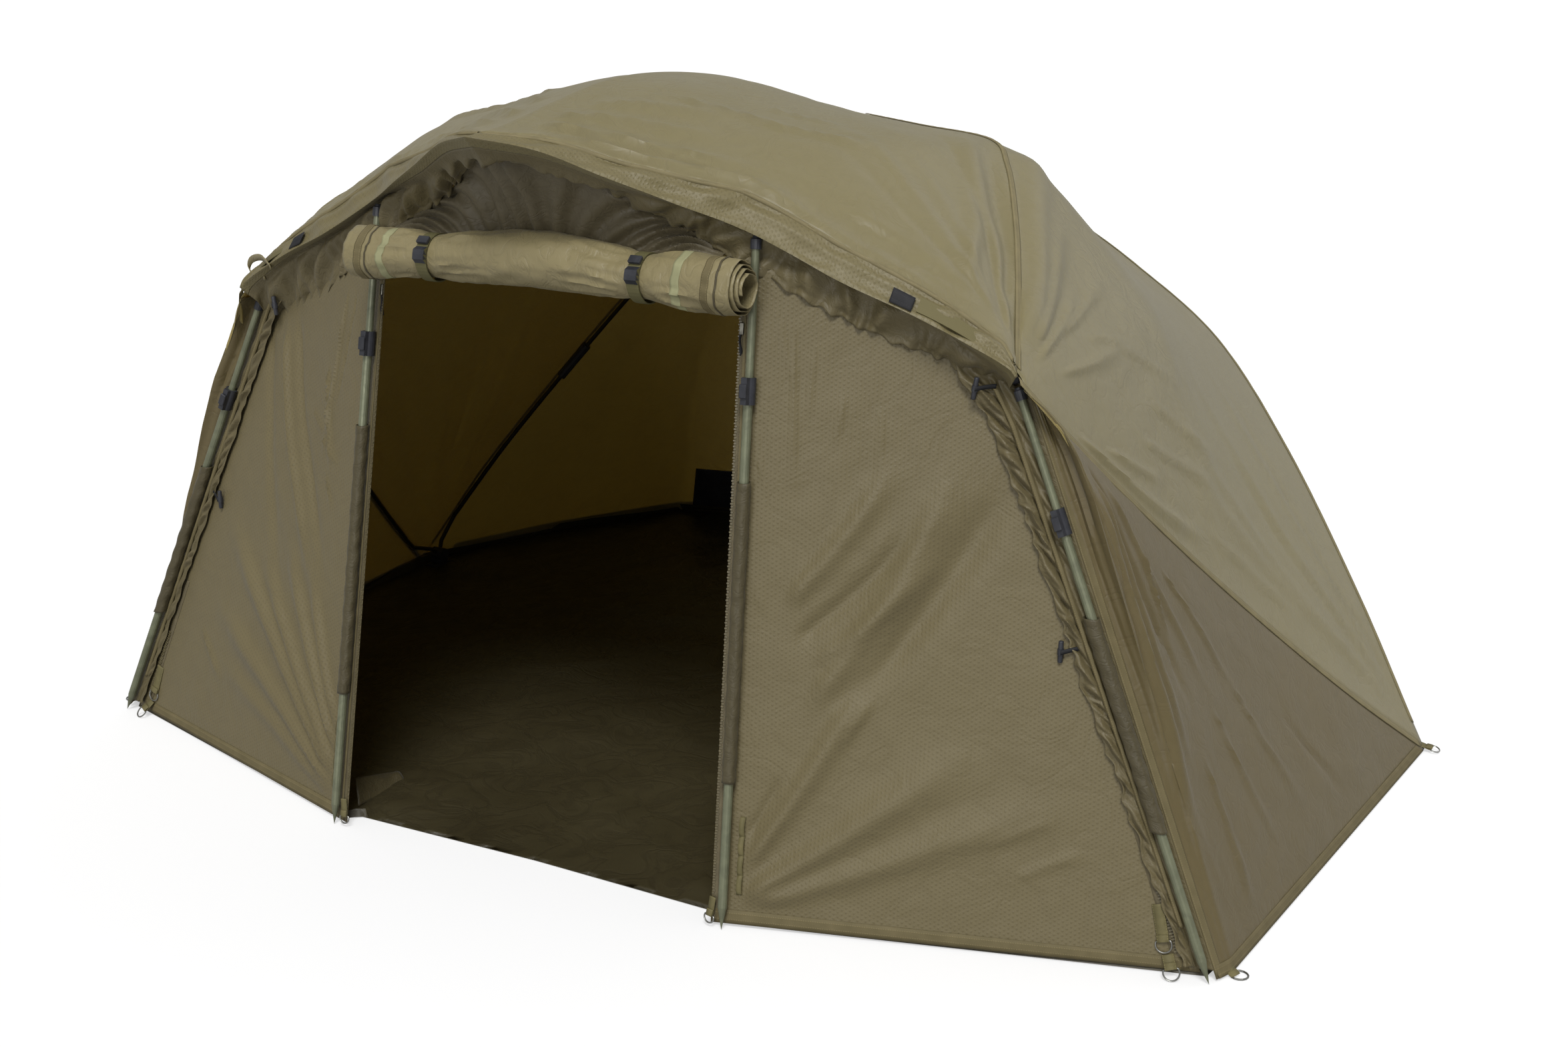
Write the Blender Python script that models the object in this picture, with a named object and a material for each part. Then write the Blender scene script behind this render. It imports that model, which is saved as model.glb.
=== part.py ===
"""Fishing brolly shelter: a crossed-rib dome on two ground hubs, with a peaked front, a zipped
storm front, four telescopic poles, a rolled-up door and a groundsheet.

Metres, +Z up. The front faces -Y and the shelter is mirrored about X = 0. Ground level is Z = 0.
"""

import math

import bmesh
import bpy
import numpy as np
from mathutils import Matrix, Vector

# General clearances and cloth
CLOTH = 0.0020            # thickness of every sheet of cloth
SEAM = 0.0009             # gap between two sheets that meet at a seam
FIT = 0.0004              # clearance between hard pieces that touch

# Ground hubs
HUB_X = 1.395             # centre of a hub from the middle plane
HUB_Y = 0.600             # pivot line of the frame
HUB_Z = 0.035             # height of the pivot line
HUB_BARREL = 0.018        # radius of the pivot barrel
HUB_LENGTH = 0.040        # length of the hub along X
HUB_BASE = 0.076          # length of the hub's foot along Y
HUB_FOOT = 0.007          # thickness of the hub's foot

# Key points of the cloth, right-hand side
FOOT_X = 1.468            # where the side seam and the rear seam meet the ground
HEM_Z = 0.0045            # height of the hem over the ground
CORNER = Vector((0.917, -0.613, 1.056))
PEAK_Y = -0.975
PEAK_Z = 1.467
CROWN_Y = 0.600
CROWN_Z = 1.383
RIDGE_Y = -0.390          # highest point of the roof
RIDGE_Z = 1.541
SHOULDER = Vector((0.650, -0.047, 1.362))
KNEE = Vector((0.560, 0.076, 1.396))
REAR_X = 1.060            # rear corner of the footprint
REAR_CORNER_Y = 1.440
REAR_Y = 1.590            # rearmost point of the footprint
FRONT_FOOT = Vector((1.375, -0.602, HEM_Z))

# Ribs
RIB = 0.006               # radius of the crossed ribs
BRIM_RIB = 0.005          # radius of the ribs along the brim
RIB_INSET = 0.015         # from a seam to the middle of the rib under it
RIB_LEAD = 0.022          # straight end of a rib where it enters a joint
ARM_CLEAR = 0.0075        # room between a rear elbow and the cloth
ELBOW = 0.0125            # outer radius of a folding elbow
ELBOW_LENGTH = 0.115
ELBOW_AT = 0.36           # place of the elbow along the rear arm, from the hub
CROWN_RADIUS = 0.024
CROWN_HEIGHT = 0.026
BALL = 0.016              # radius of the corner and peak joints
CORNER_BALL = Vector((0.893, -0.568, 1.052))
PEAK_BALL = Vector((0.0, -0.920, 1.444))

# Poles
CENTRE_TIP = Vector((0.477, -0.917, 0.0))
CENTRE_TOP = Vector((0.438, -0.701, 1.294))
SIDE_TIP = Vector((1.350, -0.667, 0.0))
SIDE_TOP = CORNER_BALL + (SIDE_TIP - CORNER_BALL).normalized() * BALL
LOWER_TUBE = 0.0090
UPPER_TUBE = 0.0075
TUBE_BORE = 0.0079
SPIKE = 0.045
CENTRE_LOWER = 1.050      # length of a lower tube, from its tip
SIDE_LOWER = 0.900
OVERLAP = 0.300           # length of the upper tube inside the lower one
TOP_SLACK = 0.006         # open pivot between a pole head and the rib over it
HEAD = 0.0105
HEAD_HEIGHT = 0.024
CLAMP = 0.0135
CLAMP_HEIGHT = 0.050
CLAMP_NOSE = 0.019
LEVER = Vector((0.015, 0.005, 0.026))

# Door roll
ROLL = 0.051
ROLL_LEFT = -0.432
ROLL_RIGHT = 0.470
ROLL_Z = 1.207
ROLL_CLEAR = 0.004        # room between the roll and the poles behind it
TRANSOM_END = 0.43        # the transom's end, as a share of the brim from the peak
ROLL_LIP = 0.003          # step at the loose edge of the rolled door
STRAP_X = (-0.238, 0.248)
STRAP_WIDTH = 0.026
STRAP_THICK = 0.0022
STRAP_PINCH = 0.006       # how far a strap draws the roll in
BUCKLE = Vector((0.026, 0.010, 0.022))      # socket: width, height, length along the strap
LATCH = Vector((0.026, 0.0075, 0.016))
ROD_STRAP_RISE = 0.003     # how far a rod strap stands off the brim

# Ground-level sheet and rings, panels, zips
SHEET_THICK = 0.003
PANEL_SLANT = math.radians(22)
PANEL_BACK = (CLAMP + CLOTH / 2 + FIT) / math.cos(PANEL_SLANT)   # from a pole to the cloth behind it
RING = 0.0165
RING_WIRE = 0.0019
PANEL_LAP = 0.028         # how far a front panel reaches past the centre pole, into the doorway
PANEL_LOW_INNER = 0.030   # hem heights and top heights of the front panels
PANEL_LOW_OUTER = 0.018
PANEL_HIGH_INNER = 1.232
PANEL_HIGH_OUTER = 1.000
VALANCE_TOP = 0.975
VALANCE_LOW = 0.020
GATHER = 0.0040           # depth of the valance's gathers
ZIP_INSET = 0.024
PANEL_EDGE = 0.020        # from a side pole's middle to the front panel's outer edge
PANEL_STEP = 0.0055       # the front panel lies this far behind the valance at the side pole
ZIP_Z = 1.120
ZIP_SLIDER = Vector((0.008, 0.004, 0.022))


def clear_scene():
    """Removes whatever the file holds."""
    for item in list(bpy.data.objects):
        bpy.data.objects.remove(item, do_unlink=True)


def material(name, colour, roughness=0.6, metallic=0.0):
    """A plain material: base colour, roughness and metallic value."""
    made = bpy.data.materials.new(name)
    made.use_nodes = True
    shader = made.node_tree.nodes["Principled BSDF"]
    shader.inputs["Base Color"].default_value = (*colour, 1.0)
    shader.inputs["Roughness"].default_value = roughness
    shader.inputs["Metallic"].default_value = metallic
    made.diffuse_color = (*colour, 1.0)
    return made


clear_scene()
OLIVE = material("olive_cloth", (0.235, 0.205, 0.140), 0.72)
FRONT = material("front_cloth", (0.170, 0.142, 0.094), 0.75)
LINING = material("valance_cloth", (0.120, 0.102, 0.060), 0.70)
GROUND = material("groundsheet_cloth", (0.030, 0.028, 0.018), 0.65)
BLACK = material("black_plastic", (0.020, 0.021, 0.023), 0.45)
RIB_BLACK = material("black_tube", (0.018, 0.018, 0.018), 0.40)
ALLOY = material("grey_green_alloy", (0.205, 0.235, 0.180), 0.38, 0.6)
STEEL = material("ring_steel", (0.520, 0.520, 0.500), 0.28, 1.0)
WEBBING = material("webbing", (0.060, 0.058, 0.032), 0.80)


def mirrored(point, side):
    """The point on the right (side 1) or its mirror image on the left (side -1)."""
    return Vector((point.x * side, point.y, point.z))


def smooth_path(points, count):
    """Evenly spaced points on a smooth curve through the given points."""
    knots = [Vector(p) for p in points]
    fine = []
    steps = 12
    for i in range(len(knots) - 1):
        before = knots[i - 1] if i else knots[i] * 2 - knots[i + 1]
        after = knots[i + 2] if i + 2 < len(knots) else knots[i + 1] * 2 - knots[i]
        for k in range(steps):
            t = k / steps
            a = knots[i] * 2
            b = (knots[i + 1] - before) * t
            c = (before * 2 - knots[i] * 5 + knots[i + 1] * 4 - after) * t * t
            d = (knots[i] * 3 - before - knots[i + 1] * 3 + after) * t ** 3
            fine.append((a + b + c + d) * 0.5)
    fine.append(knots[-1])
    run = [0.0]
    for p, q in zip(fine, fine[1:]):
        run.append(run[-1] + (q - p).length)
    flat = np.array([tuple(p) for p in fine])
    wanted = np.linspace(0.0, run[-1], count)
    columns = [np.interp(wanted, run, flat[:, k]) for k in range(3)]
    return [Vector(values) for values in zip(*columns)]


def at(path, share):
    """The point at a share of the way along an evenly spaced path."""
    place = share * (len(path) - 1)
    low = min(int(place), len(path) - 2)
    return path[low].lerp(path[low + 1], place - low)


def add_object(name, mesh, mat, origin=None, smooth=True):
    """Links a mesh as an object with its origin at the given point."""
    if origin is not None:
        mesh.transform(Matrix.Translation(-origin))
    made = bpy.data.objects.new(name, mesh)
    if origin is not None:
        made.location = origin
    bpy.context.scene.collection.objects.link(made)
    mesh.materials.append(mat)
    if smooth:
        mesh.shade_smooth()
        mesh.set_sharp_from_angle(angle=math.radians(40))
    return made


def finish_mesh(bm, name):
    """Turns the faces outward and writes the mesh."""
    bmesh.ops.recalc_face_normals(bm, faces=bm.faces)
    if bm.calc_volume(signed=True) < 0.0:
        bmesh.ops.reverse_faces(bm, faces=bm.faces)
    mesh = bpy.data.meshes.new(name)
    bm.to_mesh(mesh)
    bm.free()
    return mesh


def surface(grids):
    """One open surface from grids of points whose shared edges are joined."""
    bm = bmesh.new()
    for rows in grids:
        made = [[bm.verts.new(p) for p in row] for row in rows]
        for upper, lower in zip(made, made[1:]):
            for k in range(len(upper) - 1):
                bm.faces.new((upper[k], upper[k + 1], lower[k + 1], lower[k]))
    bmesh.ops.remove_doubles(bm, verts=bm.verts, dist=0.00002)
    bmesh.ops.recalc_face_normals(bm, faces=bm.faces)
    return bm


def cloth(name, grids, mat, thickness=CLOTH):
    """A sheet of cloth: the surface, thickened to both sides."""
    bm = surface(grids)
    mesh = bpy.data.meshes.new(name)
    bm.to_mesh(mesh)
    bm.free()
    made = add_object(name, mesh, mat)
    solid = made.modifiers.new("thickness", "SOLIDIFY")
    solid.thickness = thickness
    solid.offset = 0.0
    return made


def rod(name, path, radius, mat, resolution=2):
    """A round tube along a path, with closed ends."""
    curve = bpy.data.curves.new(name, "CURVE")
    curve.dimensions = "3D"
    curve.bevel_depth = radius
    curve.bevel_resolution = resolution
    curve.use_fill_caps = True
    line = curve.splines.new("POLY")
    line.points.add(len(path) - 1)
    for point, place in zip(line.points, path):
        point.co = (*place, 1.0)
    made = bpy.data.objects.new(name, curve)
    made.data.materials.append(mat)
    bpy.context.scene.collection.objects.link(made)
    return made


def turned(name, profile, mat, foot, direction, sides=14, front=None, origin=None):
    """A closed profile of (radius, height) pairs turned about an axis that starts at foot."""
    bm = bmesh.new()
    ring = [bm.verts.new((max(r, 0.0), 0.0, z)) for r, z in profile]
    edges = [bm.edges.new((a, b)) for a, b in zip(ring, ring[1:])]
    if profile[0][0] > 0.0 and profile[-1][0] > 0.0:
        edges.append(bm.edges.new((ring[-1], ring[0])))
    bmesh.ops.spin(bm, geom=ring + edges, cent=(0, 0, 0), axis=(0, 0, 1), angle=math.tau,
                   steps=sides, use_merge=True)
    bmesh.ops.remove_doubles(bm, verts=bm.verts, dist=0.00001)
    bmesh.ops.dissolve_degenerate(bm, edges=bm.edges, dist=0.00001)
    bmesh.ops.transform(bm, matrix=axis_frame(foot, direction, front), verts=bm.verts)
    return add_object(name, finish_mesh(bm, name), mat, origin)


def axis_frame(foot, direction, front=None):
    """A frame at foot whose Z runs along direction and whose -Y faces front."""
    up = Vector(direction).normalized()
    ahead = Vector(front if front is not None else (0, -1, 0))
    back = -(ahead - up * ahead.dot(up)).normalized()
    right = back.cross(up)
    frame = Matrix((right, back, up)).transposed().to_4x4()
    frame.translation = foot
    return frame


def collar(name, outline, bore, low, high, mat, frame, origin=None, sides=20):
    """A ring whose outer outline is a function of the angle, with a round bore."""
    bm = bmesh.new()
    loops = []
    for radius_of, height in ((outline, low), (outline, high), (bore, high), (bore, low)):
        loop = []
        for k in range(sides):
            angle = math.tau * k / sides
            r = radius_of(angle) if callable(radius_of) else radius_of
            loop.append(bm.verts.new((r * math.cos(angle), r * math.sin(angle), height)))
        loops.append(loop)
    for one, two in zip(loops, loops[1:] + loops[:1]):
        for k in range(sides):
            bm.faces.new((one[k], one[(k + 1) % sides], two[(k + 1) % sides], two[k]))
    bmesh.ops.transform(bm, matrix=frame, verts=bm.verts)
    return add_object(name, finish_mesh(bm, name), mat, origin)


def sleeve(name, path, outer, inner, mat, sides=12):
    """A hollow tube along a path."""
    bm = bmesh.new()
    loops = []
    for radius, places in ((outer, path), (inner, path[::-1])):
        for k, place in enumerate(places):
            index = k if places is path else len(path) - 1 - k
            ahead = path[min(index + 1, len(path) - 1)] - path[max(index - 1, 0)]
            frame = axis_frame(place, ahead)
            loops.append([
                bm.verts.new(frame @ Vector((radius * math.cos(math.tau * s / sides),
                                             radius * math.sin(math.tau * s / sides), 0)))
                for s in range(sides)
            ])
    for one, two in zip(loops, loops[1:] + loops[:1]):
        for k in range(sides):
            bm.faces.new((one[k], one[(k + 1) % sides], two[(k + 1) % sides], two[k]))
    return add_object(name, finish_mesh(bm, name), mat)


def block(name, size, frame, mat, bevel, origin=None):
    """A box with bevelled edges."""
    bm = bmesh.new()
    bmesh.ops.create_cube(bm, size=1.0)
    bmesh.ops.scale(bm, vec=size, verts=bm.verts)
    bmesh.ops.bevel(bm, geom=list(bm.edges), offset=bevel, segments=1, profile=0.5,
                    affect="EDGES", material=-1)
    bmesh.ops.transform(bm, matrix=frame, verts=bm.verts)
    return add_object(name, finish_mesh(bm, name), mat, origin)


def ball(name, centre, radius, mat):
    """A round joint."""
    bm = bmesh.new()
    bmesh.ops.create_uvsphere(bm, u_segments=14, v_segments=8, radius=radius)
    bmesh.ops.translate(bm, vec=centre, verts=bm.verts)
    return add_object(name, finish_mesh(bm, name), mat)


# Seam lines of the right-hand side
FOOT = Vector((FOOT_X, HUB_Y, HEM_Z))
CROWN = Vector((0.0, CROWN_Y, CROWN_Z))
PEAK = Vector((0.0, PEAK_Y, PEAK_Z))
RIDGE = Vector((0.0, RIDGE_Y, RIDGE_Z))
HUB = Vector((HUB_X, HUB_Y, HUB_Z))
DOME_CENTRE = Vector((0.0, 0.30, 0.30))


def bowed(start, end, stations):
    """Points between two ends, each a share of the way plus a rise off the straight line."""
    return [start.lerp(end, share) + Vector(rise) for share, rise in stations]


FRONT_SEAM = smooth_path(
    [CORNER]
    + bowed(CORNER, SHOULDER, ((0.40, (0.002, 0.018, 0.021)), (0.70, (0.005, 0.012, 0.017))))
    + [SHOULDER, KNEE, KNEE.lerp(CROWN, 0.5), CROWN], 61)

# The rear arm's arch: share of the half width, setback behind the hubs, share of the crown height
REAR_ARCH = ((0.109, 0.075, 0.965), (0.218, 0.145, 0.900), (0.317, 0.200, 0.8265),
             (0.426, 0.241, 0.7455), (0.573, 0.270, 0.619), (0.717, 0.210, 0.441),
             (0.866, 0.100, 0.2256), (0.966, 0.028, 0.058))
REAR_SEAM = smooth_path(
    [CROWN] + [Vector((FOOT_X * a, HUB_Y + b, CROWN_Z * c)) for a, b, c in REAR_ARCH] + [FOOT], 61)

SIDE_SAG = 0.042
SIDE_SEAM = smooth_path(
    [CORNER]
    + bowed(CORNER, FOOT, [(s, (0, 0, -SIDE_SAG * 4 * s * (1 - s))) for s in (0.2, 0.4, 0.6, 0.8)])
    + [FOOT], 61)

RIDGE_LINE = smooth_path(
    [PEAK]
    + bowed(PEAK, RIDGE, ((0.21, (0, 0, -0.004)), (0.47, (0, 0, 0.005)), (0.76, (0, 0, 0.011))))
    + [RIDGE]
    + bowed(RIDGE, CROWN, ((0.19, (0, 0, 0.020)), (0.39, (0, 0, 0.026)), (0.60, (0, 0, 0.013)),
                           (0.80, (0, 0, 0.003))))
    + [CROWN], 61)

# The brim's lower edge runs from the peak over the centre pole to the roof's front corner
BRIM_BEND = CENTRE_TOP + Vector((0.0, -0.021, 0.002))
BRIM_EDGE = smooth_path(
    [PEAK]
    + bowed(PEAK, BRIM_BEND, ((0.244, (0, 0, 0.018)), (0.48, (0, 0, 0.012)), (0.72, (0, 0, 0.007))))
    + [BRIM_BEND]
    + bowed(BRIM_BEND, CORNER, ((0.34, (0, 0, 0.001)), (0.64, (0, 0, 0.013)), (0.94, (0, 0, 0.013))))
    + [CORNER], 81)
BRIM_COLUMNS = 84
BRIM_END = 0.955          # the brim stops this share of the way to the corner


def station(stations, share):
    """Interpolates a list of (share, offset) pairs."""
    shares = [s for s, _ in stations]
    return Vector([float(np.interp(share, shares, [o[k] for _, o in stations])) for k in range(3)])


BAND = ((0.0, (0, 0.045, 0.0015)), (0.25, (0, 0.044, 0.023)), (0.46, (0, 0.040, 0.054)),
        (0.70, (0, 0.040, 0.048)), (0.84, (0, 0.040, 0.037)), (0.95, (0, 0.036, 0.022)),
        (1.0, (0, 0, 0)))
RIB_IN_BRIM = ((0.0, (0, 0.055, -0.023)), (0.25, (0, 0.042, -0.002)), (0.46, (0, 0.024, 0.014)),
               (0.70, (0, 0.022, 0.012)), (0.84, (0, 0.028, 0.004)), (0.93, (-0.006, 0.034, -0.010)))


def brim_top(share):
    """The seam between the roof and the brim."""
    return at(BRIM_EDGE, share) + station(BAND, share)


def pole_at(tip, top, height):
    """The point of a pole's middle line at a height."""
    return tip.lerp(top, height / top.z)


def panel_at(x, z, ahead=0.0):
    """A point of the front panel's surface, or as far in front of it as asked."""
    inner = pole_at(CENTRE_TIP, CENTRE_TOP, z)
    outer = pole_at(SIDE_TIP, SIDE_TOP, z)
    low = Vector((inner.x, inner.y + PANEL_BACK, z))
    far = Vector((outer.x - PANEL_EDGE, outer.y + PANEL_BACK + PANEL_STEP, z))
    share = (x - low.x) / (far.x - low.x)
    return Vector((x, low.y + (far.y - low.y) * share - ahead, z))


def valance_inner(share):
    """The valance's turning line, over the pole heads."""
    offsets = ((0.0, (0, 0.045, -0.042)), (0.25, (0, 0.050, -0.028)), (0.46, (0, 0.040, 0.002)),
               (0.62, (0, 0.038, -0.003)), (0.84, (-0.002, 0.034, -0.010)),
               (1.0, (-0.020, 0.020, -0.026)))
    return at(BRIM_EDGE, share) + station(offsets, share)


def valance_edge(share):
    """The valance's elastic edge: an arch over the door, then down in front of the panels."""
    offsets = ((0.0, (0, 0.102, -0.050)), (0.12, (-0.007, 0.095, -0.036)),
               (0.25, (0, 0.100, -0.065)), (0.35, (-0.010, 0.080, -0.066)),
               (0.46, (0, 0.022, -0.071)), (0.62, (0.010, 0.037, -0.079)),
               (0.80, (0, 0.046, -0.068)), (0.95, (-0.040, 0.025, -0.058)))
    place = at(BRIM_EDGE, share) + station(offsets, share)
    if share > 0.46:
        over = min((share - 0.46) / 0.10, 1.0)
        place.y += (panel_at(place.x, place.z, 0.007).y - place.y) * over
    return place


PATCH_START = 0.025       # a panel starts this share of the way from its pointed corner
ROOF_ROWS = 13
FRONT_COLUMNS = 7
SIDE_COLUMNS = 12


def patch(near, far, side, rows, columns, bulge=Vector((0, 0, 0))):
    """A cloth panel spread from a corner: near and far run from the corner, side joins their ends."""
    grid = []
    for i in range(rows + 1):
        u = PATCH_START + (1.0 - PATCH_START) * i / rows
        row = []
        for k in range(columns + 1):
            v = k / columns
            flat = near(u).lerp(far(u), v)
            end = side(v) - near(1.0).lerp(far(1.0), v)
            row.append(flat + end * u + bulge * (16 * u * (1 - u) * v * (1 - v)))
        grid.append(row)
    return grid


def seam_start(edge, own, other, seam):
    """Where a sheet starts beside its neighbour's border; own and other point into the two sheets."""
    own = (own - seam * own.dot(seam)).normalized()
    other = (other - seam * other.dot(seam)).normalized()
    fold = math.pi - own.angle(other)
    room = (FIT + CLOTH / 2 * (1 - math.cos(fold))) / math.sin(fold) if fold > 1.0 else 0.0
    return edge + own * max(SEAM, room)


def flipped(grid):
    """The mirror image of a grid of points."""
    return [[mirrored(p, -1) for p in row] for row in grid]


# Roof
def roof_front():
    """Right half of the front roof panel, between the brim, the ridge and the front seam."""
    return patch(lambda u: brim_top(1.0 - u), lambda u: at(FRONT_SEAM, u),
                 lambda v: brim_top(0.0).lerp(CROWN, v) + ridge_rise(v), ROOF_ROWS, FRONT_COLUMNS)


def ridge_rise(share):
    """How far the ridge stands over the straight line from the brim to the crown."""
    start = brim_top(0.0)
    straight = start.lerp(CROWN, share)
    ys = [p.y for p in RIDGE_LINE]
    zs = [p.z for p in RIDGE_LINE]
    return Vector((0, 0, float(np.interp(straight.y, ys, zs)) - straight.z)) if share < 1 else Vector()


def roof_side():
    """Right side roof panel, between the front seam, the side seam and the rear seam."""
    return patch(lambda u: at(SIDE_SEAM, u), lambda u: at(FRONT_SEAM, u),
                 lambda v: at(REAR_SEAM, 1.0 - v), ROOF_ROWS, SIDE_COLUMNS, Vector((-0.012, 0.0, -0.010)))


def border(points, shares):
    """Reads a panel's border, a line of straight steps, at a share of its seam."""
    return lambda share: Vector([float(np.interp(share, shares, [p[k] for p in points]))
                                 for k in range(3)])


FRONT_HALF = roof_front()
SIDE_HALF = roof_side()
DOWN = [PATCH_START + (1.0 - PATCH_START) * i / ROOF_ROWS for i in range(ROOF_ROWS + 1)]
ROOF_BRIM = border([row[0] for row in FRONT_HALF][::-1], [1.0 - u for u in DOWN][::-1])
ROOF_SIDE = border([row[0] for row in SIDE_HALF], DOWN)
ROOF_REAR = border(SIDE_HALF[-1][::-1], [k / SIDE_COLUMNS for k in range(SIDE_COLUMNS + 1)])
SIDE_INNER = border(SIDE_HALF[-2][::-1], [k / SIDE_COLUMNS for k in range(SIDE_COLUMNS + 1)])
cloth("roof_canopy", [FRONT_HALF, flipped(FRONT_HALF), SIDE_HALF, flipped(SIDE_HALF)], OLIVE)


# Rear panel
REAR_START = 0.012        # the panel starts this share of the way from the crown
REAR_PLACES = [0.5 + side * x / FOOT_X / 2 for side, row in (
    (-1, (FOOT_X, FOOT_X * 0.94, FOOT_X * 0.88, FOOT_X * 0.80, REAR_X, 0.82, 0.58, 0.30)),
    (1, (0.0, 0.30, 0.58, 0.82, REAR_X, FOOT_X * 0.80, FOOT_X * 0.88, FOOT_X * 0.94, FOOT_X)))
    for x in row]
REAR_SHARES = [REAR_START] + [i / SIDE_COLUMNS for i in range(1, SIDE_COLUMNS + 1)]


def rear_panel():
    """Rear panel, from the rear seams down to the ground line behind the hubs."""
    depth = REAR_Y - HUB_Y
    grid = []
    for u in REAR_SHARES:
        edge = ROOF_REAR(u)
        low = 1.0 - edge.z / CROWN_Z
        push = max(low * depth - (edge.y - HUB_Y), 0.0) / depth
        row = [mirrored(edge, -1).lerp(edge, v) + Vector((0, rear_reach(v) * push, 0))
               for v in REAR_PLACES]
        seam = ROOF_REAR(min(u + 0.01, 1.0)) - ROOF_REAR(min(u + 0.01, 1.0) - 0.02)
        row[-1] = seam_start(edge, row[-2] - edge, SIDE_INNER(u) - edge, seam.normalized())
        row[0] = mirrored(row[-1], -1)
        grid.append(row)
    return grid


def rear_reach(share):
    """How far the ground line stands behind the hubs, from the left hub to the right one."""
    corner = REAR_CORNER_Y - HUB_Y
    middle = REAR_Y - HUB_Y
    aside = abs(share - 0.5) * 2
    turn = REAR_X / FOOT_X
    return float(np.interp(aside, (0.0, turn * 0.56, turn, turn + (1 - turn) * 0.57, 1.0),
                           (middle, middle * 0.25 + corner * 0.75 + 0.075, corner, corner * 0.52, 0.0)))


REAR_GRID = rear_panel()
cloth("rear_panel", [REAR_GRID], OLIVE)


# Lower side panels
def side_panel():
    """Right lower side panel, between the side seam, the side pole and the ground."""
    start = 0.07
    drop = Vector((SEAM / 3, 0, -SEAM))

    def seam_line(u):
        return ROOF_SIDE(start + (1 - start) * u) + drop

    def front_line(u):
        return (at(SIDE_SEAM, start) + Vector((0, -0.004, -0.020))).lerp(FRONT_FOOT, u)

    return patch(front_line, seam_line, lambda v: FRONT_FOOT.lerp(seam_line(1.0), v), 10, 8)


SIDE_GRID = side_panel()
for label, side in (("left", -1), ("right", 1)):
    cloth(f"side_panel_{label}", [SIDE_GRID if side > 0 else flipped(SIDE_GRID)], OLIVE)


# Brim and its gathered valance, in one piece from corner to corner
def brim_grid():
    """Rows from the roof seam down to the brim's edge, back under it and down to the elastic."""
    columns = BRIM_COLUMNS
    rows = [[], [], [], [], []]
    for k in range(columns + 1):
        place = BRIM_END * (2.0 * k / columns - 1.0)
        share = abs(place)
        side = 1 if place >= 0 else -1
        gather = GATHER * (1 if k % 2 else -1)
        top = ROOF_BRIM(share)
        edge = at(BRIM_EDGE, share)
        inner = valance_inner(share)
        elastic = valance_edge(share)
        out = (edge - top).normalized()
        across = (elastic - inner).cross(Vector((1, 0, -0.4))).normalized()
        half = inner.lerp(elastic, 0.5) - across * gather
        last = elastic - across * gather * 0.5
        for row, point in zip(rows, (top + out * SEAM, edge, inner, half, last)):
            row.append(mirrored(point, side))
    return rows


cloth("brim", [brim_grid()], LINING)


# Gathered valances down the side poles
def edge_valance():
    """Right-hand strip of gathered cloth behind the side pole, with its elastic inner edge."""
    count = 30
    rows = [[], [], [], []]
    for k in range(count + 1):
        share = k / count
        z = VALANCE_TOP + (VALANCE_LOW - VALANCE_TOP) * share
        pole = pole_at(SIDE_TIP, SIDE_TOP, z)
        start = at(SIDE_SEAM, 0.07) + Vector((0, -0.004, -0.020))
        hem = start.lerp(FRONT_FOOT, (start.z - z) / (start.z - FRONT_FOOT.z))
        reach = 0.068 - 0.043 * min(share * 1.25, 1.0)
        gather = 0.003 * (1 if k % 2 else -1)
        inner = panel_at(pole.x - reach + gather, z, CLOTH + FIT * 1.5)
        behind = pole + Vector((-0.004, CLAMP + CLOTH / 2 + FIT, 0))
        outer = hem + (behind - hem).normalized() * (SEAM + FIT)
        middle = behind.lerp(inner, 0.55) + Vector((0, gather * 0.6, 0))
        for row, point in zip(rows, (outer, behind, middle, inner)):
            row.append(point)
    return rows


VALANCE_GRID = edge_valance()
for label, side in (("left", -1), ("right", 1)):
    cloth(f"edge_valance_{label}", [VALANCE_GRID if side > 0 else flipped(VALANCE_GRID)], LINING)


# Front panels, behind the poles
def front_panel():
    """Right front panel, from the door edge to the side pole."""
    grid = []
    rows, columns = 8, 8
    for i in range(rows + 1):
        w = i / rows
        row = []
        for k in range(columns + 1):
            u = k / columns
            low = PANEL_LOW_INNER + (PANEL_LOW_OUTER - PANEL_LOW_INNER) * u
            high = PANEL_HIGH_INNER + (PANEL_HIGH_OUTER - PANEL_HIGH_INNER) * u
            z = low + (high - low) * w
            inner = pole_at(CENTRE_TIP, CENTRE_TOP, z).x - PANEL_LAP
            outer = pole_at(SIDE_TIP, SIDE_TOP, z).x - PANEL_EDGE
            row.append(panel_at(inner + (outer - inner) * u, z))
        grid.append(row)
    return grid


PANEL_GRID = front_panel()
for label, side in (("left", -1), ("right", 1)):
    cloth(f"front_panel_{label}", [PANEL_GRID if side > 0 else flipped(PANEL_GRID)], FRONT)


# Rolled-up door, tied in front of the centre poles
ROLL_Y = pole_at(CENTRE_TIP, CENTRE_TOP, ROLL_Z).y - UPPER_TUBE - ROLL - ROLL_CLEAR


def roll_radius(x, angle):
    """Radius of the roll: drawn in by the straps, with the step of the door's loose edge."""
    pinch = sum(math.exp(-((x - s) / 0.045) ** 2) for s in STRAP_X)
    flat = any(abs(x - s) < STRAP_WIDTH for s in STRAP_X)
    end = 0.004 if x > ROLL_RIGHT - 0.10 or x < ROLL_LEFT + 0.08 else 0.0
    lip = 0.0 if flat else ROLL_LIP * ((angle / math.tau + 0.25) % 1.0)
    return ROLL - STRAP_PINCH * (1.0 if flat else min(pinch, 1.0)) - lip - end * 0.5


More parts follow.
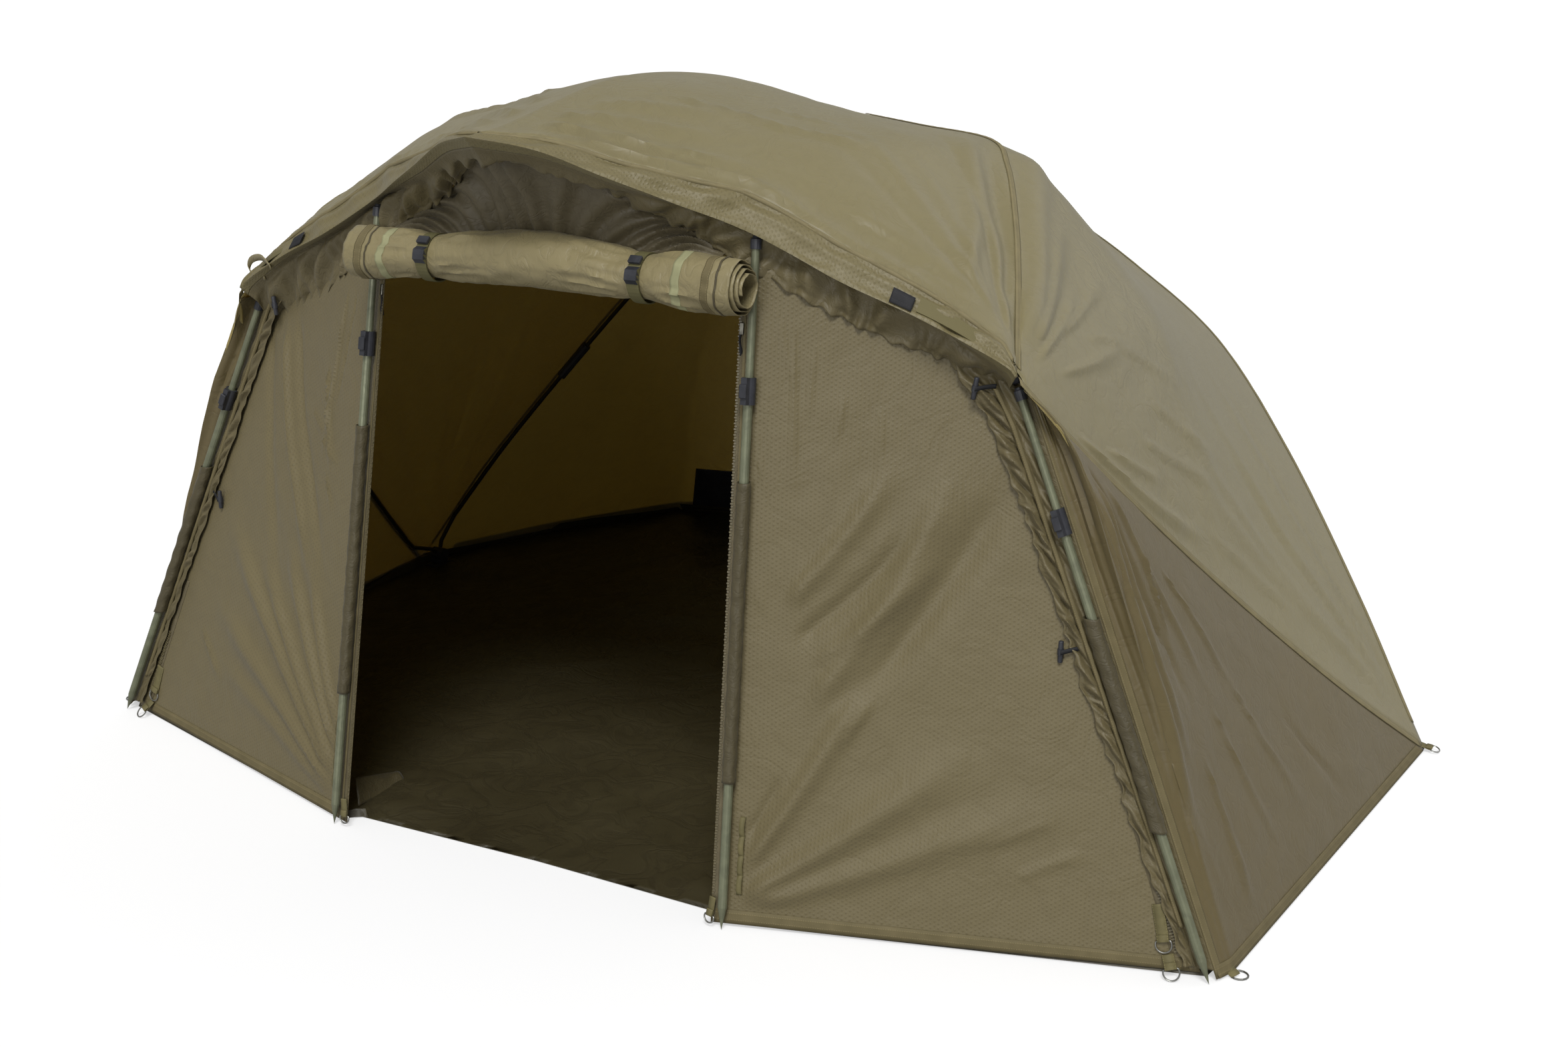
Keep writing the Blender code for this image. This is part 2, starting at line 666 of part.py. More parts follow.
def door_roll():
    """The roll as rings of points along X, closed by stepped ends."""
    places = [ROLL_LEFT, ROLL_LEFT + 0.06]
    for s in STRAP_X:
        places += [s - 0.07, s - 0.022, s + 0.022, s + 0.07]
    places += [-0.18, -0.06, 0.06, 0.33, ROLL_RIGHT - 0.06, ROLL_RIGHT]
    places.sort()
    sides = 20
    bm = bmesh.new()
    loops = []
    for x in places:
        loop = []
        for k in range(sides):
            angle = math.tau * k / sides
            r = roll_radius(x, angle)
            loop.append(bm.verts.new((x, ROLL_Y - r * math.sin(angle), ROLL_Z - r * math.cos(angle))))
        loops.append(loop)
    for one, two in zip(loops, loops[1:]):
        for k in range(sides):
            bm.faces.new((one[k], one[(k + 1) % sides], two[(k + 1) % sides], two[k]))
    for loop, inward in ((loops[0], 0.006), (loops[-1], -0.006)):
        face = bm.faces.new(loop)
        bmesh.ops.inset_region(bm, faces=[face], thickness=0.010, depth=0.0)
        bmesh.ops.translate(bm, vec=(inward, 0, 0), verts=face.verts)
    return add_object("door_roll", finish_mesh(bm, "door_roll"), FRONT)


door_roll()


# Transom over the door
def transom():
    """The door panel's fixed top, from behind the valance's arch down to the roll."""
    half = int(TRANSOM_END / BRIM_END * BRIM_COLUMNS / 2)
    turn = math.radians(36)
    reach = roll_radius(0.0, math.pi + turn) + CLOTH / 2 + FIT
    foot = Vector((0, ROLL_Y + reach * math.sin(turn), ROLL_Z + reach * math.cos(turn)))
    rows = [[], [], []]
    for k in range(-half, half + 1):
        share = abs(k) / BRIM_COLUMNS * 2 * BRIM_END
        side = 1 if k >= 0 else -1
        elastic = valance_edge(share)
        hang = (elastic - valance_inner(share)).normalized()
        upper = elastic + hang * (SEAM + CLOTH / 2)
        lower = Vector((upper.x, foot.y, foot.z))
        middle = upper.lerp(lower, 0.5) + Vector((0, 0.006 * (1 - abs(k) / half), 0))
        for row, point in zip(rows, (upper, middle, lower)):
            row.append(mirrored(point, side))
    return rows


cloth("transom", [transom()], FRONT)


# Straps and buckles of the roll
STRAP_BORE = ROLL - STRAP_PINCH + FIT
for label, x in zip(("left", "right"), STRAP_X):
    frame = axis_frame(Vector((x - STRAP_WIDTH / 2, ROLL_Y, ROLL_Z)), (1, 0, 0), (0, -1, 0.25))

    def strap_outline(angle):
        """The strap, with the buckle's socket standing on its front."""
        turn = abs((angle + math.pi / 2 + math.pi) % math.tau - math.pi)
        return STRAP_BORE + (BUCKLE.y if turn < BUCKLE.z / 2 / STRAP_BORE else STRAP_THICK)

    collar(f"strap_{label}", strap_outline, STRAP_BORE, 0.0, STRAP_WIDTH, WEBBING, frame, sides=36)
    reach = STRAP_BORE + STRAP_THICK + FIT + LATCH.y / 2
    turn = Matrix.Rotation(-(BUCKLE.z / 2 + LATCH.z) / STRAP_BORE, 4, "Z")
    place = frame @ turn @ Matrix.Translation((0, -reach, STRAP_WIDTH / 2))
    block(f"latch_{label}", (LATCH.z, LATCH.y, LATCH.x), place, BLACK, 0.0012, origin=place.translation)


# Poles
def nose(angle):
    """Outline of a clamp: round, with a flat nose towards -Y for the lever."""
    turn = abs((angle + math.pi / 2 + math.pi) % math.tau - math.pi)
    return CLAMP_NOSE / math.cos(turn) if turn < math.radians(25) else CLAMP


def pole(label, tip, top, lower_length):
    """One telescopic pole: spiked lower tube, upper tube, head, clamp and lever."""
    axis = top - tip
    length = axis.length
    front = Vector((0, -1, 0))
    frame = axis_frame(tip, axis, front)
    turned(f"lower_tube_{label}",
           [(0, 0), (LOWER_TUBE, SPIKE), (LOWER_TUBE, lower_length), (TUBE_BORE, lower_length),
            (TUBE_BORE, SPIKE + 0.05), (0, SPIKE + 0.05)], ALLOY, tip, axis, origin=tip)
    head_low = length - TOP_SLACK - HEAD_HEIGHT
    turned(f"upper_tube_{label}",
           [(0, lower_length - OVERLAP), (UPPER_TUBE, lower_length - OVERLAP),
            (UPPER_TUBE, head_low + 0.016), (0, head_low + 0.016)], ALLOY, tip, axis,
           origin=tip + axis.normalized() * (lower_length - OVERLAP))
    head_top = length - TOP_SLACK
    turned(f"pole_head_{label}",
           [(0, head_top), (0.006, head_top), (0.0075, head_top - 0.004), (HEAD, head_top - 0.006),
            (HEAD, head_low), (UPPER_TUBE + FIT, head_low), (UPPER_TUBE + FIT, head_low + 0.0164),
            (0, head_low + 0.0164)], BLACK, tip, axis,
           origin=tip + axis.normalized() * head_low)
    clamp_low = lower_length - CLAMP_HEIGHT
    collar(f"clamp_{label}", nose, LOWER_TUBE + FIT, clamp_low, lower_length - 0.0002, BLACK, frame,
           origin=frame @ Vector((0, 0, clamp_low)))
    middle = clamp_low + CLAMP_HEIGHT * 0.5
    hinge = frame @ Vector((0, -(CLAMP_NOSE + FIT + LEVER.y / 2), middle + LEVER.z / 2 - 0.0025))
    place = frame @ Matrix.Translation((0, -(CLAMP_NOSE + FIT + LEVER.y / 2), middle))
    block(f"lever_{label}", LEVER, place, BLACK, 0.0016, origin=hinge)


POLES = (("centre_left", -1, CENTRE_TIP, CENTRE_TOP, CENTRE_LOWER),
         ("centre_right", 1, CENTRE_TIP, CENTRE_TOP, CENTRE_LOWER),
         ("side_left", -1, SIDE_TIP, SIDE_TOP, SIDE_LOWER),
         ("side_right", 1, SIDE_TIP, SIDE_TOP, SIDE_LOWER))
for label, side, tip, top, lower_length in POLES:
    pole(label, mirrored(tip, side), mirrored(top, side), lower_length)


# Ribs and joints
def inset(point):
    """The rib's middle line under a seam."""
    return point + (DOME_CENTRE - point).normalized() * RIB_INSET


def under_fold(share):
    """The rear arm's middle line: as far from the side panel as from the rear panel."""
    seam = ROOF_REAR(share)
    ahead = SIDE_INNER(share) - seam
    behind = REAR_INNER(share) - seam
    ahead.normalize()
    behind.normalize()
    clear = ELBOW + CLOTH / 2 + ARM_CLEAR
    inward = (ahead + behind + (DOME_CENTRE - seam).normalized() * 0.2).normalized()
    return seam + inward * clear / max((ahead - behind).length / 2, 0.6)


def rib_path(line, start, end):
    """A rib along a line, with a straight end into each joint: (middle, reach, direction)."""
    room = RIB_LEAD + 0.03
    kept = [p for p in line if (p - start[0]).length > start[1] + room
            and (p - end[0]).length > end[1] + room]
    ends = []
    for (middle, reach, direction), near in ((start, kept[0]), (end, kept[-1])):
        way = (Vector(direction) if direction else near - middle).normalized()
        ends.append([middle + way * reach, middle + way * (reach + RIB_LEAD)])
    return ends[0][:1] + smooth_path(ends[0][1:] + kept[::3] + ends[1][1:], 24) + ends[1][:1]


def level(way):
    """The horizontal part of a direction."""
    return Vector((way.x, way.y, 0.0))


REAR_INNER = border([row[-2] for row in REAR_GRID], REAR_SHARES)
CROWN_BLOCK = CROWN + Vector((0, -0.030, -0.027))
CROWN_CLOTH = float(np.interp(CROWN_BLOCK.y, [p.y for p in FRONT_HALF[-1]],
                              [p.z for p in FRONT_HALF[-1]])) - CLOTH / 2 - FIT * 1.5
BUTTON = CROWN_CLOTH - CROWN_BLOCK.z
turned("crown_block",
       [(0, -CROWN_HEIGHT / 2), (CROWN_RADIUS, -CROWN_HEIGHT / 2), (CROWN_RADIUS, 0.009),
        (0.007, 0.009), (0.006, BUTTON - 0.003), (0.002, BUTTON - 0.0003), (0, BUTTON)],
       BLACK, CROWN_BLOCK, (0, 0, 1), sides=18)
ball("peak_joint", PEAK_BALL, BALL, BLACK)
RIDGE_RIB = rib_path([inset(at(RIDGE_LINE, 1.0 - k / 30)) for k in range(30)],
                     (CROWN_BLOCK, CROWN_RADIUS + FIT, (0, -1, 0)), (PEAK_BALL, BALL + FIT, None))
rod("peak_rib", RIDGE_RIB, BRIM_RIB, RIB_BLACK)

for label, side in (("left", -1), ("right", 1)):
    corner = CORNER_BALL
    ball(f"corner_block_{label}", mirrored(corner, side), BALL, BLACK)
    bm = bmesh.new()
    low = SHEET_THICK + FIT
    shape = [(-HUB_BASE / 2, low), (HUB_BASE / 2, low), (HUB_BASE / 2, low + HUB_FOOT),
             (0.013, low + HUB_FOOT)]
    shape += [(HUB_BARREL * math.cos(a), HUB_Z + HUB_BARREL * math.sin(a))
              for a in np.linspace(math.radians(-45), math.radians(225), 16)]
    shape += [(-0.013, low + HUB_FOOT), (-HUB_BASE / 2, low + HUB_FOOT)]
    face = bm.faces.new([bm.verts.new((HUB_X - HUB_LENGTH / 2, HUB_Y + y, z)) for y, z in shape])
    pulled = bmesh.ops.extrude_face_region(bm, geom=[face])
    bmesh.ops.translate(bm, vec=(HUB_LENGTH, 0, 0),
                        verts=[v for v in pulled["geom"] if isinstance(v, bmesh.types.BMVert)])
    for vert in bm.verts:
        vert.co.x *= side
    add_object(f"hub_{label}", finish_mesh(bm, f"hub_{label}"), BLACK)

    crown_way = level(at(FRONT_SEAM, 0.8) - CROWN_BLOCK)
    front = rib_path([inset(at(FRONT_SEAM, k / 40)) for k in range(41)],
                     (corner, BALL + FIT, None), (CROWN_BLOCK, CROWN_RADIUS + FIT, crown_way))
    rod(f"front_arm_{label}", [mirrored(p, side) for p in front], RIB, RIB_BLACK)
    crown_way = level(at(REAR_SEAM, 0.2) - CROWN_BLOCK)
    rear = rib_path([under_fold(1.0 - k / 40) for k in range(1, 40)],
                    (HUB, HUB_BARREL + FIT, (0, 0.35, 1)),
                    (CROWN_BLOCK, CROWN_RADIUS + FIT, crown_way))
    rod(f"rear_arm_{label}", [mirrored(p, side) for p in rear], RIB, RIB_BLACK)
    lower = rib_path([inset(at(SIDE_SEAM, k / 40)) for k in range(4, 40)],
                     (corner, BALL + FIT, (0.10, 0.85, -0.45)), (HUB, HUB_BARREL + FIT, (0, -0.9, 0.6)))
    rod(f"side_rib_{label}", [mirrored(p, side) for p in lower], RIB, RIB_BLACK)

    run = sum((q - p).length for p, q in zip(rear, rear[1:]))
    low = (ELBOW_AT - ELBOW_LENGTH / run / 2) * (len(rear) - 1)
    high = (ELBOW_AT + ELBOW_LENGTH / run / 2) * (len(rear) - 1)
    stops = [low] + list(range(math.ceil(low), math.floor(high) + 1)) + [high]
    piece = [at(rear, stop / (len(rear) - 1)) for stop in stops]
    sleeve(f"elbow_{label}", [mirrored(p, side) for p in piece], ELBOW, RIB + FIT * 1.5, BLACK)

    brim_line = [at(BRIM_EDGE, s) + station(RIB_IN_BRIM, s) for s in (0.08, 0.25, 0.46, 0.62, 0.78, 0.90)]
    ends = [PEAK_BALL + (brim_line[0] - PEAK_BALL).normalized() * (BALL + FIT),
            corner + (brim_line[-1] - corner).normalized() * (BALL + FIT)]
    line = smooth_path([ends[0]] + brim_line + [ends[1]], 16)
    rod(f"brim_rib_{label}", [mirrored(p, side) for p in line], BRIM_RIB, RIB_BLACK)


# Groundsheet
def groundsheet():
    """A flat sheet inside the hems."""
    inner = 0.016
    front = [(CENTRE_TIP.x, -0.852), (FRONT_FOOT.x - inner * 1.6, FRONT_FOOT.y + 0.006)]
    rear = []
    for place in REAR_GRID[-1][::-1]:
        inward = Vector((-place.x, HUB_Y - place.y, 0)).normalized() * inner
        rear.append((place.x + inward.x, place.y + inward.y))
    outline = [(-x, y) for x, y in front[::-1]] + front + rear
    bm = bmesh.new()
    face = bm.faces.new([bm.verts.new((x, y, 0.0)) for x, y in outline])
    pulled = bmesh.ops.extrude_face_region(bm, geom=[face])
    bmesh.ops.translate(bm, vec=(0, 0, SHEET_THICK),
                        verts=[v for v in pulled["geom"] if isinstance(v, bmesh.types.BMVert)])
    return add_object("groundsheet", finish_mesh(bm, "groundsheet"), GROUND, smooth=False)


groundsheet()


# Peg rings at the front corners
def peg_ring(name, x, y):
    """A round ring lying flat on the ground."""
    around, thick = 14, 6
    bm = bmesh.new()
    loops = []
    for k in range(around):
        a = math.tau * k / around
        loop = []
        for s in range(thick):
            b = math.tau * s / thick
            reach = RING + RING_WIRE * math.cos(b)
            loop.append(bm.verts.new((x + reach * math.cos(a), y + reach * math.sin(a),
                                      RING_WIRE * (1 + math.sin(b)))))
        loops.append(loop)
    for k in range(around):
        one, two = loops[k], loops[(k + 1) % around]
        for s in range(thick):
            bm.faces.new((one[s], two[s], two[(s + 1) % thick], one[(s + 1) % thick]))
    return add_object(name, finish_mesh(bm, name), STEEL)


for label, side in (("left", -1), ("right", 1)):
    peg_ring(f"peg_ring_{label}", (FRONT_FOOT.x + RING * 0.8) * side, FRONT_FOOT.y - RING * 0.5)


# Rod straps on the brim
def rod_strap(side):
    """A flat loop of webbing on the brim beside a corner."""
    rows = []
    for k in range(9):
        share = 0.80 + 0.12 * k / 8
        top = brim_top(share)
        edge = at(BRIM_EDGE, share)
        along = (at(BRIM_EDGE, share + 0.02) - at(BRIM_EDGE, share - 0.02)).normalized()
        out = (edge - top).cross(along).normalized()
        if out.y > 0:
            out = -out
        lift = out * (CLOTH / 2 + 0.00075 + FIT * 1.5 + ROD_STRAP_RISE * math.sin(math.pi * k / 8))
        rows.append([mirrored(top.lerp(edge, t) + lift, side) for t in (0.30, 0.85)])
    return rows


for label, side in (("left", -1), ("right", 1)):
    cloth(f"rod_strap_{label}", [rod_strap(side)], WEBBING, 0.0015)

# Sliders of the door's zips
for label, side in (("left", -1), ("right", 1)):
    tip = mirrored(CENTRE_TIP, side)
    zip_x = pole_at(CENTRE_TIP, CENTRE_TOP, ZIP_Z).x - ZIP_INSET
    along = panel_at(zip_x + 0.02, ZIP_Z) - panel_at(zip_x, ZIP_Z)
    facing = Vector((along.y, -along.x, 0.0)).normalized()
    place = panel_at(zip_x, ZIP_Z) + facing * (CLOTH / 2 + FIT * 2 + ZIP_SLIDER.y / 2)
    frame = axis_frame(mirrored(place, side), mirrored(CENTRE_TOP, side) - tip, mirrored(facing, side))
    block(f"door_zip_{label}", ZIP_SLIDER, frame, STEEL, 0.0008, origin=mirrored(place, side))
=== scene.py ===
"""Looks of a fishing brolly shelter: cloth, webbing, poles and fittings over its fixed frame.

Metres, +Z up. The front faces -Y, the shelter is mirrored about X = 0, and the ground is Z = 0.
"""

import logging
import math
import random
from dataclasses import dataclass, field
from enum import Enum
from typing import Callable, ClassVar, Sequence

import bmesh
import bpy
import numpy as np
from mathutils import Matrix, Vector, noise


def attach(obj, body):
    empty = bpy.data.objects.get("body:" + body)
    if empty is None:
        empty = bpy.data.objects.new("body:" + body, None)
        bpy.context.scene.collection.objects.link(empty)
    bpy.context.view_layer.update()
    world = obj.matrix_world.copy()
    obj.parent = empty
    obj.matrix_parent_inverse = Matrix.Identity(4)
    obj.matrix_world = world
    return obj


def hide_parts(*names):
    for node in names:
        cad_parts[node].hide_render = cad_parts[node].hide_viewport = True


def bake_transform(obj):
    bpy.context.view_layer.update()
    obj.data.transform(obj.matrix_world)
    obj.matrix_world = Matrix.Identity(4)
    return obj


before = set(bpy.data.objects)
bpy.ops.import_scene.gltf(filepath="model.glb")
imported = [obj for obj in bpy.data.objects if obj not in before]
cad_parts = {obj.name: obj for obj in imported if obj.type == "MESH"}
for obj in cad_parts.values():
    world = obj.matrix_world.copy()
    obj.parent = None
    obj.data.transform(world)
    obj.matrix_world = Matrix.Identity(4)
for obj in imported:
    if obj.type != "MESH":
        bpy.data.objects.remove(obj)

LOG = logging.getLogger("brolly")
Piece = bpy.types.Object
Socket = bpy.types.NodeSocket
Mesh = bmesh.types.BMesh
Colour = tuple[float, float, float]
Place = Callable[[float, float], Vector]
Relief = Callable[[float, float, Vector], float]


class Side(Enum):
    """Which half of the shelter a piece belongs to, seen from the front."""

    LEFT = -1
    RIGHT = 1

    @property
    def label(self) -> str:
        """The word that ends the names of the pieces on this side."""
        return self.name.lower()

    @classmethod
    def at(cls, share: float) -> "Side":
        """The side that a share is on, from -1 at the left corner to 1 at the right one."""
        return cls.RIGHT if share >= 0 else cls.LEFT

    def of(self, point: Vector) -> Vector:
        """Puts a point of the right-hand side on this side."""
        return Vector((point.x * self.value, point.y, point.z))


class Hang(Enum):
    """How a piece of cloth moves when the roof is lowered on its hubs."""

    ROOF = "canopy"
    GROUND = "ground"
    AHEAD = "ahead"
    BEHIND = "behind"


def srgb(red: float, green: float, blue: float) -> Colour:
    """Turns a colour in 0-255 display values into linear values.

    Args:
        red, green, blue: The display values.

    Returns:
        The linear colour.
    """
    out = []
    for value in (red, green, blue):
        share = value / 255.0
        out.append(share / 12.92 if share <= 0.04045 else ((share + 0.055) / 1.055) ** 2.4)
    return tuple(out)


def smoothstep(low: float, high: float, value: float) -> float:
    """Rises smoothly from 0 at low to 1 at high."""
    share = min(max((value - low) / (high - low), 0.0), 1.0)
    return share * share * (3.0 - 2.0 * share)


def bell(value: float, middle: float, width: float) -> float:
    """A bell curve: 1 at its middle, and near 0 two widths off."""
    return math.exp(-((value - middle) / width) ** 2)


def swirl(along: float, angle: float, size: float) -> float:
    """Smooth noise from -1 to 1 round a tube, whose two ends of a turn meet."""
    return noise.noise(Vector((along, math.cos(angle) * size, math.sin(angle) * size)))


def crinkle(point: Vector, size: float, seed: float = 0.0) -> float:
    """Irregular cloth relief from -1 to 1, about as coarse as size.

    Args:
        point: Where it is read, in metres.
        size: Width of the larger bumps, in metres.
        seed: Shifts the pattern.

    Returns:
        The height, without a unit.
    """
    place = Vector((point.x / size + seed, point.y / size + seed * 0.37, point.z / size))
    return noise.noise(place) * 0.65 + noise.noise(place * 2.3) * 0.35


@dataclass(frozen=True)
class Fold:
    """One soft fold between two places of a panel; a negative height makes a furrow.

    Start and end are shares of the panel, width and height are in metres, and opening is the
    width at the start as a share of the full width.
    """

    start: tuple[float, float]
    end: tuple[float, float]
    width: float
    height: float
    opening: float = 0.35


class Drape:
    """All the folds of one panel."""

    def __init__(self, size: tuple[float, float], folds: Sequence[Fold], fanned: bool = False) -> None:
        """Keeps the folds as rows of numbers.

        Args:
            size: The panel's size along its two shares, in metres.
            folds: The folds.
            fanned: The second share spreads from a point at the first share's start.
        """
        self.size, self.fanned = size, fanned
        ends = [self.flat(*f.start) + self.flat(*f.end) for f in folds]
        self.rows = np.array([(*e, f.width, f.height, f.opening) for e, f in zip(ends, folds)])

    def flat(self, u: float, v: float) -> tuple[float, float]:
        """A place of the panel in metres."""
        return u * self.size[0], v * self.size[1] * (u if self.fanned else 1.0)

    def height(self, u: float, v: float, sway: float = 0.0) -> float:
        """The height of the folds at a place, moved sideways by sway metres."""
        x, y = self.flat(u, v)
        ax, ay, bx, by, width, height, opening = self.rows.T
        dx, dy = bx - ax, by - ay
        length = np.hypot(dx, dy)
        along = ((x - ax) * dx + (y - ay) * dy) / length ** 2
        off = ((x - ax) * dy - (y - ay) * dx) / length + sway
        inside = np.clip(np.minimum(along / 0.14, (1.0 - along) / 0.38), 0.0, 1.0)
        inside = inside * inside * (3.0 - 2.0 * inside)
        ratio = off / (width * (opening + (1.0 - opening) * np.clip(along, 0.0, 1.0)))
        bell = np.exp(-np.minimum(ratio * ratio, 40.0))
        return float(np.sum(height * inside * bell * (1.0 + 0.6 * ratio)))


def tension(origin: tuple[float, float], towards: tuple[float, float], spread: float, count: int, width: float,
            height: float, seed: int) -> list[Fold]:
    """Folds that run out from a held point of the cloth.

    Args:
        origin: The held point, in shares.
        towards: Where the middle fold ends, in shares.
        spread: Angle over which the folds fan, in degrees.
        count: How many folds.
        width: Width of the widest one, in metres.
        height: Height of the highest one, in metres.
        seed: Fixes the variation.

    Returns:
        The folds.
    """
    dice = random.Random(seed)
    dx, dy = towards[0] - origin[0], towards[1] - origin[1]
    reach, middle = math.hypot(dx, dy), math.atan2(dy, dx)
    made = []
    for k in range(count):
        angle = middle + math.radians(spread) * ((k + dice.uniform(0.2, 0.8)) / count - 0.5)
        near, far = reach * dice.uniform(0.02, 0.14), reach * dice.uniform(0.65, 1.05)
        way = (math.cos(angle), math.sin(angle))
        made.append(Fold((origin[0] + way[0] * near, origin[1] + way[1] * near),
                         (origin[0] + way[0] * far, origin[1] + way[1] * far),
                         width * dice.uniform(0.6, 1.0), height * dice.uniform(0.55, 1.0) * (1 if k % 3 else -1)))
    return made


class Line:
    """A smooth line through knots, read at a share of its length."""

    def __init__(self, knots: Sequence[Vector], count: int = 241) -> None:
        """Spreads the line's points evenly.

        Args:
            knots: Points that the line passes.
            count: Number of points kept.
        """
        fine: list[Vector] = []
        for i in range(len(knots) - 1):
            a, b = knots[i], knots[i + 1]
            before = knots[i - 1] if i else a * 2 - b
            after = knots[i + 2] if i + 2 < len(knots) else b * 2 - a
            for k in range(12):
                t = k / 12
                fine.append((a * 2 + (b - before) * t
                             + (before * 2 - a * 5 + b * 4 - after) * t * t
                             + (a * 3 - before - b * 3 + after) * t ** 3) * 0.5)
        fine.append(knots[-1].copy())
        flat = np.array([tuple(p) for p in fine])
        run = np.concatenate(([0.0], np.cumsum(np.linalg.norm(np.diff(flat, axis=0), axis=1))))
        even = np.linspace(0.0, run[-1], count)
        self.length = float(run[-1])
        self.points = [Vector(v) for v in np.stack([np.interp(even, run, flat[:, k]) for k in range(3)], 1)]

    def at(self, share: float) -> Vector:
        """The point at a share of the line's length."""
        place = min(max(share, 0.0), 1.0) * (len(self.points) - 1)
        low = min(int(place), len(self.points) - 2)
        return self.points[low].lerp(self.points[low + 1], place - low)

    def along(self, share: float) -> Vector:
        """The line's direction at a share of its length."""
        return (self.at(min(share + 0.01, 1.0)) - self.at(max(share - 0.01, 0.0))).normalized()


def table(rows: Sequence[tuple[float, Sequence[float]]], share: float) -> Vector:
    """Reads a point from rows of (share, coordinates), between which it runs straight."""
    shares = [row[0] for row in rows]
    return Vector([float(np.interp(share, shares, [row[1][k] for row in rows])) for k in range(3)])


def bowed(start: Vector, end: Vector, rows: Sequence[tuple[float, Sequence[float]]]) -> list[Vector]:
    """Points between two ends, each a share of the way plus a rise off the straight line."""
    return [start.lerp(end, share) + Vector(rise) for share, rise in rows]


def knot(x: float, y: float, z: float) -> Vector:
    """A dataclass field that holds a point."""
    return field(default_factory=lambda: Vector((x, y, z)))


@dataclass(frozen=True)
class Form:
    """Sizes and seam lines of the shelter, right-hand side, in metres."""

    hub: Vector = knot(1.395, 0.6, 0.035)
    foot: Vector = knot(1.468, 0.6, 0.0045)
    corner: Vector = knot(0.917, -0.613, 1.056)
    peak: Vector = knot(0.0, -0.975, 1.467)
    ridge: Vector = knot(0.0, -0.39, 1.541)
    crown: Vector = knot(0.0, 0.6, 1.383)
    shoulder: Vector = knot(0.65, -0.047, 1.362)
    knee: Vector = knot(0.56, 0.076, 1.396)
    front_foot: Vector = knot(1.375, -0.602, 0.0045)
    centre_tip: Vector = knot(0.477, -0.917, 0.0)
    centre_top: Vector = knot(0.438, -0.701, 1.294)
    side_tip: Vector = knot(1.35, -0.667, 0.0)
    corner_ball: Vector = knot(0.893, -0.568, 1.052)
    inside: Vector = knot(0.0, 0.3, 0.3)
    under_roof: Vector = knot(0.0, 0.3, 0.9)
    ball: float = 0.016
    clamp: float = 0.0135
    cloth: float = 0.002
    rear_corner: Vector = knot(1.06, 1.44, 0.0)
    rear_y: float = 1.59
    panel_lap: float = 0.028
    panel_slant: float = math.radians(22)
    panel_end: float = 0.02
    door_top: float = 1.256
    patch_start: float = 0.012
    side_start: float = 0.012
    side_turn: float = 0.08
    brim_end: float = 0.996
    strip_top: float = 1.034
    floor_rim: float = 0.026
    roll: float = 0.051
    roll_left: float = -0.432
    roll_right: float = 0.47
    roll_z: float = 1.207

    def __post_init__(self) -> None:
        """Works out the seam lines."""
        put = object.__setattr__
        side_top = self.corner_ball + (self.side_tip - self.corner_ball).normalized() * self.ball
        put(self, "side_top", side_top)
        put(self, "front_seam", Line(
            [self.corner]
            + bowed(self.corner, self.shoulder, ((0.4, (0.002, 0.018, 0.021)), (0.7, (0.005, 0.012, 0.017))))
            + [self.shoulder, self.knee, self.knee.lerp(self.crown, 0.5), self.crown]))
        arch = ((0.109, 0.075, 0.965), (0.218, 0.145, 0.9), (0.317, 0.2, 0.8265),
                (0.426, 0.241, 0.7455), (0.573, 0.27, 0.619), (0.717, 0.21, 0.441),
                (0.866, 0.1, 0.2256), (0.966, 0.028, 0.058))
        put(self, "rear_seam", Line(
            [self.crown]
            + [Vector((self.foot.x * a, self.hub.y + b, self.crown.z * c)) for a, b, c in arch]
            + [self.foot]))
        swing = ((0.04, 0.022), (0.1, 0.042), (0.2, 0.04), (0.4, 0.015), (0.6, 0.0), (0.8, 0.0))
        put(self, "side_seam", Line(
            [self.corner]
            + bowed(self.corner, self.foot, [(s, (0.48 * k, -0.876 * k, -0.168 * s * (1 - s))) for s, k in swing])
            + [self.foot]))
        put(self, "ridge_line", Line(
            [self.peak]
            + bowed(self.peak, self.ridge, ((0.21, (0, 0, -0.004)), (0.47, (0, 0, 0.005)), (0.76, (0, 0, 0.011))))
            + [self.ridge]
            + bowed(self.ridge, self.crown, ((0.19, (0, 0, 0.02)), (0.39, (0, 0, 0.026)),
                                             (0.6, (0, 0, 0.013)), (0.8, (0, 0, 0.003))))
            + [self.crown]))
        bend = self.centre_top + Vector((0.0, -0.021, 0.002))
        put(self, "brim_edge", Line(
            [self.peak]
            + bowed(self.peak, bend, ((0.244, (0, 0, 0.018)), (0.48, (0, 0, 0.012)), (0.72, (0, 0, 0.007))))
            + [bend]
            + bowed(bend, self.corner, ((0.34, (0, 0, 0.001)), (0.64, (0, 0, 0.013)), (0.94, (0, 0, 0.013))))
            + [self.corner]))
        put(self, "panel_back", (self.clamp + self.cloth / 2 + 0.0004) / math.cos(self.panel_slant))
        roll_pole = self.pole(self.centre_tip, self.centre_top, self.roll_z)
        put(self, "roll_y", roll_pole.y - 0.0075 - self.roll - 0.004)

    @staticmethod
    def pole(tip: Vector, top: Vector, height: float) -> Vector:
        """The point of a pole's middle line at a height."""
        return tip.lerp(top, height / top.z)

    def brim_top(self, share: float) -> Vector:
        """The seam between the roof and the brim, from the peak to the corner."""
        band = ((0.0, (0, 0.045, 0.0015)), (0.25, (0, 0.044, 0.023)), (0.46, (0, 0.04, 0.054)),
                (0.7, (0, 0.04, 0.048)), (0.84, (0, 0.04, 0.037)), (0.95, (0, 0.036, 0.022)),
                (1.0, (0, 0, 0)))
        return self.brim_edge.at(share) + table(band, share)

